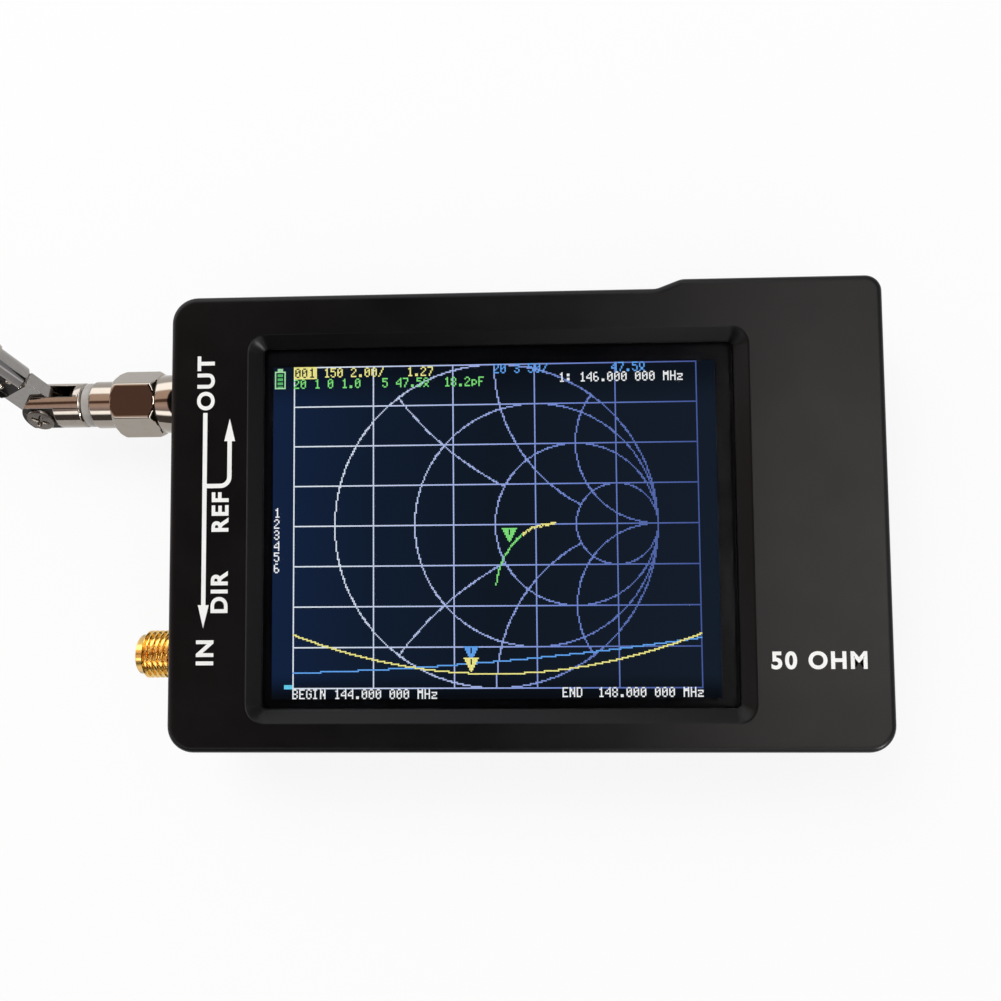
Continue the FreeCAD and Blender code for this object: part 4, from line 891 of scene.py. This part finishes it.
ring(CHART_X, CHART_Y, CHART_R)
for radius in RESISTANCE_RINGS:
    ring(RIGHT_X - radius, CHART_Y, radius)
for radius, stop in REACTANCE_ARCS:
    for side in (-1, 1):
        def shown(x, y, stop=stop):
            return within_chart(x, y) and math.hypot(x - RIGHT_X + stop, y - CHART_Y) >= stop
        ring(RIGHT_X, CHART_Y + side * radius, radius, shown)
print(len(lit), "pixels in the grid and the chart")

# %% [markdown]
# The traces are smooth curves. Each is drawn column by column, and a column is filled up
# to the next one's height, as the instrument draws it.

# %% Traces and markers
YELLOW = (255, 248, 150)
BLUE = (104, 174, 255)
GREEN = (135, 240, 130)
WHITE = (250, 252, 255)


def through(points, x):
    """The parabola through three points, read at x."""
    total = 0
    for i, (xi, yi) in enumerate(points):
        term = yi
        for j, (xj, _) in enumerate(points):
            if i != j:
                term *= (x - xj) / (xi - xj)
        total += term
    return total


def trace(points, colour):
    """A level trace across the grid."""
    before = through(points, GRID_LEFT)
    for x in range(GRID_LEFT, GRID_RIGHT + 1):
        y = through(points, x)
        low, high = sorted((int(round(before)), int(round(y))))
        for level in range(low, high + 1):
            dot(x, level, colour)
        before = y


trace([(15, 221), (165, 213), (306, 197)], BLUE)
trace([(15, 194), (156, 222), (306, 194)], YELLOW)
bend = [(204, 115), (196, 116), (188, 118), (180, 123), (173, 130), (167, 139), (163, 149), (161, 160)]
for (x0, y0), (x1, y1) in zip(bend, bend[1:]):
    colour = YELLOW if x0 > 180 else GREEN
    for step in range(12):
        share = step / 12
        x = x0 + (x1 - x0) * share
        y = y0 + (y1 - y0) * share
        dot(x, y, colour)
        dot(x, y + (step + x0) % 2, colour)


def marker(x, tip, colour):
    """A small triangle that points down at a trace."""
    for row in range(10):
        half = 5 - row / 2
        for across in range(-5, 6):
            if abs(across) <= half:
                dot(x + across, tip - 10 + row, colour)
    for row in range(4):
        lit.pop((x, tip - 9 + row), None)


marker(143, 213, BLUE)
marker(143, 221, YELLOW)
marker(171, 129, GREEN)

# %% [markdown]
# The rows of numbers use a small alphabet of four by seven pixels. Each glyph is seven
# hexadecimal digits, one for a row, whose four bits are the row's pixels. A battery sign
# stands in the upper left corner, and a small light mark in the lower left one.

# %% Numbers on the screen
GLYPHS = {
    "0": "69BD996", "1": "2622227", "2": "691248F", "3": "6916196", "4": "1359F11",
    "5": "F8E1196", "6": "688E996", "7": "F112244", "8": "6996996",
    ".": "0000066", ":": "0660660", "/": "1122448", " ": "0000000",
    "B": "E99E99E", "D": "E99999E", "E": "F88E88F", "F": "F88E888", "G": "698B996", "H": "999F999",
    "I": "E44444E", "M": "9FF9999", "N": "9DDBB99", "p": "00E99E8", "z": "00F168F", "Ω": "6999669",
}


def glyph_dots(text, x, y, down=False):
    """The pixels of a row of characters, or of a column of them."""
    for number, letter in enumerate(text):
        left = x if down else x + 5 * number
        top = y + 8 * number if down else y
        for row, bits in enumerate(GLYPHS[letter]):
            for column in range(4):
                if int(bits, 16) >> (3 - column) & 1:
                    yield left + column, top + row


def write(text, x, y, colour, down=False):
    """Light a row of characters."""
    for place in glyph_dots(text, x, y, down):
        dot(*place, colour)


for x in range(GRID_LEFT, 32):
    for y in range(9):
        dot(x, y, YELLOW)
for place in glyph_dots("001", 16, 1):
    lit.pop(place, None)
write("150 2.00/", 37, 1, YELLOW)
write("1.27", 98, 1, YELLOW)
write("20 1 0 1.0", 15, 9, GREEN)
write("5 47.5Ω  18.2pF", 80, 9, GREEN)
write("20 3 50/", 161, 0, BLUE)
write("47.5Ω", 246, 0, BLUE)
write("1: 146.000 000 MHz", 208, 7, WHITE)
write("BEGIN 144.000 000 MHz", 15, 233, WHITE)
write("END  148.000 000 MHz", 208, 232, WHITE)
write("123456", 1, 103, WHITE, down=True)
BATTERY_EDGE = (176, 235, 180)
BATTERY_FILL = (96, 196, 110)
CORNER_SIGN = (110, 220, 255)
for x in range(1, 9):
    for y in range(3, 16):
        if x in (1, 8) or y in (3, 15):
            dot(x, y, BATTERY_EDGE)
        elif y % 3 != 1 and 2 < x < 7:
            dot(x, y, BATTERY_FILL)
for x in range(3, 7):
    dot(x, 1, BATTERY_EDGE)
    dot(x, 2, BATTERY_EDGE)
for x in range(9, 15):
    for y in range(230, 233):
        dot(x, y, CORNER_SIGN)
print(len(lit), "lit pixels")

# %% [markdown]
# ## From pixels to glowing squares
# Thousands of equal squares are a job for Geometry Nodes: one point for a pixel, one square
# on each point, made real at the end because an export drops instances. The colour rides
# along as an attribute, and the glow reads it.

# %% Points
def points(name, places, colours):
    """A mesh of single points, with a colour on each."""
    mesh = bpy.data.meshes.new(name)
    mesh.from_pydata(places, [], [])
    tint = mesh.attributes.new("tint", "FLOAT_COLOR", "POINT")
    for item, colour in zip(tint.data, colours):
        item.color = colour
    return mesh


def rectangle(name, low, high):
    """A level rectangle between two corners."""
    sides = [(low.x, low.y), (high.x, low.y), (high.x, high.y), (low.x, high.y)]
    mesh = bpy.data.meshes.new(name)
    mesh.from_pydata([(x, y, low.z) for x, y in sides], [], [(0, 1, 2, 3)])
    return mesh


# %% [markdown]
# The panel behind the pixels isn't quite black. Seen from a slant, its backlight leaks
# through as a deep blue at the left and fades to the right, and it is dimmer along the
# screen's lower and upper edges. Both glows are Principled
# shaders with an emission colour, at a strength of one, where a colour shows as written.

# %% Screen picture
LIT_HEIGHT = 13.85
FIELD_HEIGHT = 13.825
LIT_SQUARE = 0.165
BLACK = (0, 0, 0, 1)
glow = Finish("screen_glow")
tint = glow.node("ShaderNodeAttribute", {"attribute_name": "tint"}, output="Color")
glow.set(Base_Color=BLACK, Emission_Color=tint, Emission_Strength=1.0)
glow.set(Roughness=0.5, Specular_IOR_Level=0.0)

graph, wires = recipe("lit pixels", "Square")
width = wires["Square"]
square = graph.node("GeometryNodeMeshGrid", None, {0: width, 1: width, 2: 2, 3: 2})
sockets = {"Points": wires["Geometry"], "Instance": square}
spread = graph.node("GeometryNodeInstanceOnPoints", None, sockets)
pixel_tree = finish_recipe(graph, spread, glow.material)


def screen_place(column, row, height):
    """A place on the screen in metres, from its pixel."""
    x = SCREEN_X + (column - COLUMNS / 2) * PIXEL
    y = SCREEN_Y - (row - ROWS / 2) * PIXEL
    return Vector((x, y, height)) * MM


places = [screen_place(x, y, LIT_HEIGHT) for x, y in lit]
colours = [linear(*colour) for colour in lit.values()]
pixels = points("pixel_points", places, colours)
pixels = grow("lit_pixels", pixel_tree, pixels, Square=LIT_SQUARE)
add_piece("screen_pixels", pixels, "analyzer", "display_glass")

FIELD_TONES = [
    (0.0, linear(18, 34, 64)), (0.2, linear(16, 29, 49)),
    (0.5, linear(15, 24, 36)), (1.0, linear(20, 30, 43)),
]
leak = Finish("screen_leak")
rightwards = leak.node("ShaderNodeSeparateXYZ", None, [leak.place], "X")
upwards = leak.node("ShaderNodeSeparateXYZ", None, [leak.place], "Y")
from_left = rightwards - (SCREEN_X - COLUMNS / 2 * PIXEL)
tones = leak.ramp(from_left / (COLUMNS * PIXEL), FIELD_TONES)
lit_part = leak.step(upwards, SCREEN_Y - 120 * PIXEL, SCREEN_Y - 100 * PIXEL)
shaded_top = leak.step(upwards, SCREEN_Y + 88 * PIXEL, SCREEN_Y + 118 * PIXEL)
lit_part = lit_part * (1 - shaded_top * 0.6)
cloud = leak.noise(0.06, 3.0, 0.5)
leak.set(
    Base_Color=BLACK,
    Emission_Color=leak.mix(lit_part * (cloud * 0.3 + 0.85), linear(7, 11, 17), tones),
    Emission_Strength=1.0,
    Specular_IOR_Level=0.0,
)
low = screen_place(-0.5, ROWS - 0.5, FIELD_HEIGHT)
high = screen_place(COLUMNS - 0.5, -0.5, FIELD_HEIGHT)
panel = rectangle("screen_leak", low, high)
add_piece("screen_field", panel, "analyzer", "display_glass", finish=leak.material)

# %% [markdown]
# ## The printed marks
# White ink on the case shows how the ports work: a line from the upper port to the lower
# one, with a branch that turns back. The shapes are flat plates two hundredths thick, cut
# from outlines. The words beside them are plain ones for what any such port does.

# %% Printed marks
INK_TOP = 17.0
INK_THICKNESS = 0.02
CAPITAL_SHARE = 0.8
ink = moulded("white_ink", linear(236, 236, 234), linear(222, 222, 220), 0.5, 5.0, 0.004)


def plate(name, outlines):
    """Thin plates on the case's face, from outlines in millimetres."""
    shape = bmesh.new()
    for outline in outlines:
        base = [shape.verts.new(Vector((x, y, INK_TOP)) * MM) for x, y in outline]
        top = [shape.verts.new(Vector((x, y, INK_TOP + INK_THICKNESS)) * MM) for x, y in outline]
        shape.faces.new(base[::-1])
        shape.faces.new(top)
        for n in range(len(base)):
            following = (n + 1) % len(base)
            shape.faces.new((base[n], base[following], top[following], top[n]))
    bmesh.ops.recalc_face_normals(shape, faces=shape.faces)
    return mesh_of(shape, name)


STEM_X = -40.8
STEM_HALF = 0.28
BRANCH_X = -37.6
STEM_TOP = 13.98
STEM_LOW = -10.6
BRANCH_Y = 4.56
BRANCH_TOP = 10.3
ARROW_LENGTH = 2.9
ARROW_HALF = 0.7
BEND = 1.15


def bar(x0, x1, y0, y1):
    return [(x0, y0), (x1, y0), (x1, y1), (x0, y1)]


def arrow(x, base, tip):
    outline = [(x - ARROW_HALF, base), (x + ARROW_HALF, base), (x, tip)]
    return outline if tip > base else outline[::-1]


def quarter(radius):
    """A quarter circle round the middle of the branch's bend."""
    turns = [-math.pi / 2 + math.pi / 2 * n / 8 for n in range(9)]
    x = BRANCH_X - BEND
    y = BRANCH_Y + BEND
    return [(x + radius * math.cos(turn), y + radius * math.sin(turn)) for turn in turns]


marks = [
    bar(STEM_X - STEM_HALF, STEM_X + STEM_HALF, STEM_LOW, STEM_TOP),
    arrow(STEM_X, STEM_LOW, STEM_LOW - ARROW_LENGTH),
    bar(STEM_X + STEM_HALF, BRANCH_X - BEND, BRANCH_Y - STEM_HALF, BRANCH_Y + STEM_HALF),
    quarter(BEND + STEM_HALF) + quarter(BEND - STEM_HALF)[::-1],
    bar(BRANCH_X - STEM_HALF, BRANCH_X + STEM_HALF, BRANCH_Y + BEND, BRANCH_TOP),
    arrow(BRANCH_X, BRANCH_TOP, BRANCH_TOP + ARROW_LENGTH),
]
add_piece("flow_marks", plate("flow_marks", marks), "analyzer", "case_plastic", finish=ink)


def lettering(name, text, x, y, height, turned):
    """Printed characters, centred on a point. Turned ones read upwards."""
    curve = bpy.data.curves.new(name, "FONT")
    curve.body = text
    curve.size = height / CAPITAL_SHARE * MM
    curve.align_x = "CENTER"
    curve.align_y = "CENTER"
    curve.extrude = INK_THICKNESS / 2 * MM
    curve.offset = 0.1 * MM
    curve.space_character = 1.2
    mesh = frozen(linked(name, curve), name)
    turn = Matrix.Rotation(math.pi / 2 if turned else 0, 4, "Z")
    middle = Vector((x, y, INK_TOP + INK_THICKNESS / 2)) * MM
    mesh.transform(Matrix.Translation(middle) @ turn)
    return mesh


PRINTS = [
    ("mark_out", "OUT", -40.63, 17.8, 2.4, True),
    ("mark_in", "IN", -40.44, -16.6, 2.4, True),
    ("mark_reflected", "REF", -38.63, 1.15, 2.33, True),
    ("mark_direct", "DIR", -38.65, -9.1, 2.33, True),
    ("mark_impedance", "50 OHM", 36.2, -17.95, 2.3, False),
]
for name, *print_of in PRINTS:
    add_piece(name, lettering(name, *print_of), "analyzer", "case_plastic", finish=ink)

# %% [markdown]
# ## The studio
# The object lies on a white sweep. The floor shows as white to the camera and in
# reflections, and still takes the object's soft shadow.

# %% Floor
FLOOR_REACH = 2.5
FLOOR_DROP = 0.0002
FLOOR_WHITE = (0.86, 0.86, 0.86, 1)
FLOOR_GLOW = 0.86
WHITE_LIGHT = (1, 1, 1, 1)
far_corner = Vector((FLOOR_REACH, FLOOR_REACH, 0))
floor_mesh = rectangle("floor", -far_corner, far_corner)
floor = linked("floor", floor_mesh)
floor.location.z = -FLOOR_DROP
paper = Paint("floor_paper")
seen, shiny, through_glass = [
    paper.node("ShaderNodeLightPath", output=f"Is {kind} Ray")
    for kind in ("Camera", "Glossy", "Transmission")
]
share = (seen + shiny + through_glass).then("MINIMUM", 1.0) * FLOOR_GLOW
diffuse = paper.node("ShaderNodeBsdfDiffuse", None, {"Color": FLOOR_WHITE})
shine = paper.node("ShaderNodeEmission", None, {"Color": WHITE_LIGHT, "Strength": 1.0})
both = paper.node("ShaderNodeMixShader", None, [share, diffuse, shine])
floor_mesh.materials.append(paper.end(both))

# %% [markdown]
# ## The room in the reflections
# Bright metal is made of its surroundings, so a dome that shows only in shiny surfaces
# stands over the floor. From south to north it has the bands that the connector mirrors: a
# brown room with two lamps. Over the middle it is dark, which keeps the screen's glass
# black, and on the right is a window, which greys the case there.

# %% Dome
DOME_RADIUS = 2.4
ROOM_BRIGHTEST = 3.0
MIDDLE_START = (-22.0, -19.5)
WINDOW_START = (12.7, 15.0)
WINDOW_STRENGTH = 4.6
FADE_EAST = 2.2
FADE_OFF_MIDDLE = 1.5
BANDS = [
    (-90, 0.12, 0.105, 0.1), (-58, 0.12, 0.105, 0.1), (-51, 3.0, 3.0, 3.0), (-39, 3.0, 3.0, 3.0),
    (-35, 0.43, 0.36, 0.37), (-26, 0.72, 0.55, 0.5), (-14, 1.0, 0.74, 0.64), (-3, 0.86, 0.6, 0.48),
    (1, 0.2, 0.11, 0.08), (10, 0.19, 0.1, 0.078), (15, 1.0, 0.72, 0.57), (46, 1.1, 0.8, 0.65),
    (52, 3.0, 3.0, 3.0), (80, 3.0, 3.0, 3.0), (90, 0.9, 0.9, 0.9),
]
OVERHEAD = [
    (0.0, (0.03, 0.03, 0.032, 1)), (0.3, (0.004, 0.004, 0.004, 1)),
    (0.72, (0.004, 0.004, 0.005, 1)), (0.84, (0.55, 0.6, 0.7, 1)), (1.0, (0.55, 0.6, 0.7, 1)),
]
WINDOW = [
    (0.0, (1.0, 0.95, 0.9, 1)), (0.2, (1.0, 0.95, 0.9, 1)), (0.36, (0.66, 0.62, 0.58, 1)),
    (0.5, (0.3, 0.29, 0.29, 1)), (1.0, (0.16, 0.165, 0.18, 1)),
]
dome_shape = bmesh.new()
bmesh.ops.create_uvsphere(dome_shape, u_segments=48, v_segments=32, radius=DOME_RADIUS)
under = [vertex for vertex in dome_shape.verts if vertex.co.z < -0.01]
bmesh.ops.delete(dome_shape, geom=under, context="VERTS")
dome_mesh = mesh_of(dome_shape, "dome")
dome = linked("dome", dome_mesh)

room = Paint("room")
spot = room.node("ShaderNodeTexCoord", output="Object")
east, north, up = [room.node("ShaderNodeSeparateXYZ", None, [spot], axis) for axis in "XYZ"]
lean = north.then("ARCTAN2", up) / math.pi + 0.5
side = east.then("ARCTAN2", up) * (180 / math.pi)
stops = [(0.5 + angle / 180, (*[c / ROOM_BRIGHTEST for c in colour], 1.0)) for angle, *colour in BANDS]
in_middle = room.step(side, *MIDDLE_START)
above = room.mix(in_middle, room.ramp(lean, stops), room.ramp(lean, OVERHEAD))
off_level = (lean * 180 - 90).then("ABSOLUTE")
farther = room.step(side, 15.0, 21.0)
off_middle = room.step(off_level, 3.0, 18.0)
strength = WINDOW_STRENGTH - farther * FADE_EAST - off_middle * FADE_OFF_MIDDLE
sockets = {0: room.ramp(side / 90, WINDOW), "Scale": strength}
window = room.node("ShaderNodeVectorMath", {"operation": "SCALE"}, sockets)
colour = room.mix(room.step(side, *WINDOW_START), above, window)
shine = room.node("ShaderNodeEmission", None, {"Color": colour, "Strength": ROOM_BRIGHTEST})
dome_mesh.materials.append(room.end(shine))
dome.visible_camera = False
dome.visible_diffuse = False
dome.visible_shadow = False

# %% [markdown]
# ## Light
# The white world gives the soft light from all round, and a key lamp adds a direction but
# doesn't show in shiny surfaces. A small lamp that shows only in them puts a glint in the
# upper left corner of the bevel round the screen.

# %% Lights
world = bpy.data.worlds.new("studio")
scene.world = world
world.use_nodes = True
sky = Graph(world.node_tree)
background = sky.tree.nodes["Background"].inputs
background["Color"].default_value = WHITE_LIGHT
for_camera = sky.node("ShaderNodeLightPath", output="Is Camera Ray")
sky.feed(background["Strength"], for_camera * 0.3 + 0.7)


def square_lamp(name, place, size, power):
    """A square lamp that faces the object."""
    data = bpy.data.lights.new(name, "AREA")
    data.shape = "SQUARE"
    data.size = size
    data.energy = power
    lamp = linked(name, data)
    lamp.location = place
    lamp.rotation_euler = (-Vector(place)).to_track_quat("-Z", "Y").to_euler()
    return lamp


key = square_lamp("key", (-0.25, 0.35, 0.55), 0.35, 2.2)
key.visible_glossy = False
GLINT_EAST = math.radians(59.5)
GLINT_SOUTH = math.radians(62.4)
towards_glint = Vector((math.tan(GLINT_EAST), -math.tan(GLINT_SOUTH), 1)).normalized()
glint = square_lamp("corner glint", towards_glint * 2.2, 0.2, 24)
glint.visible_diffuse = False
print("studio ready")
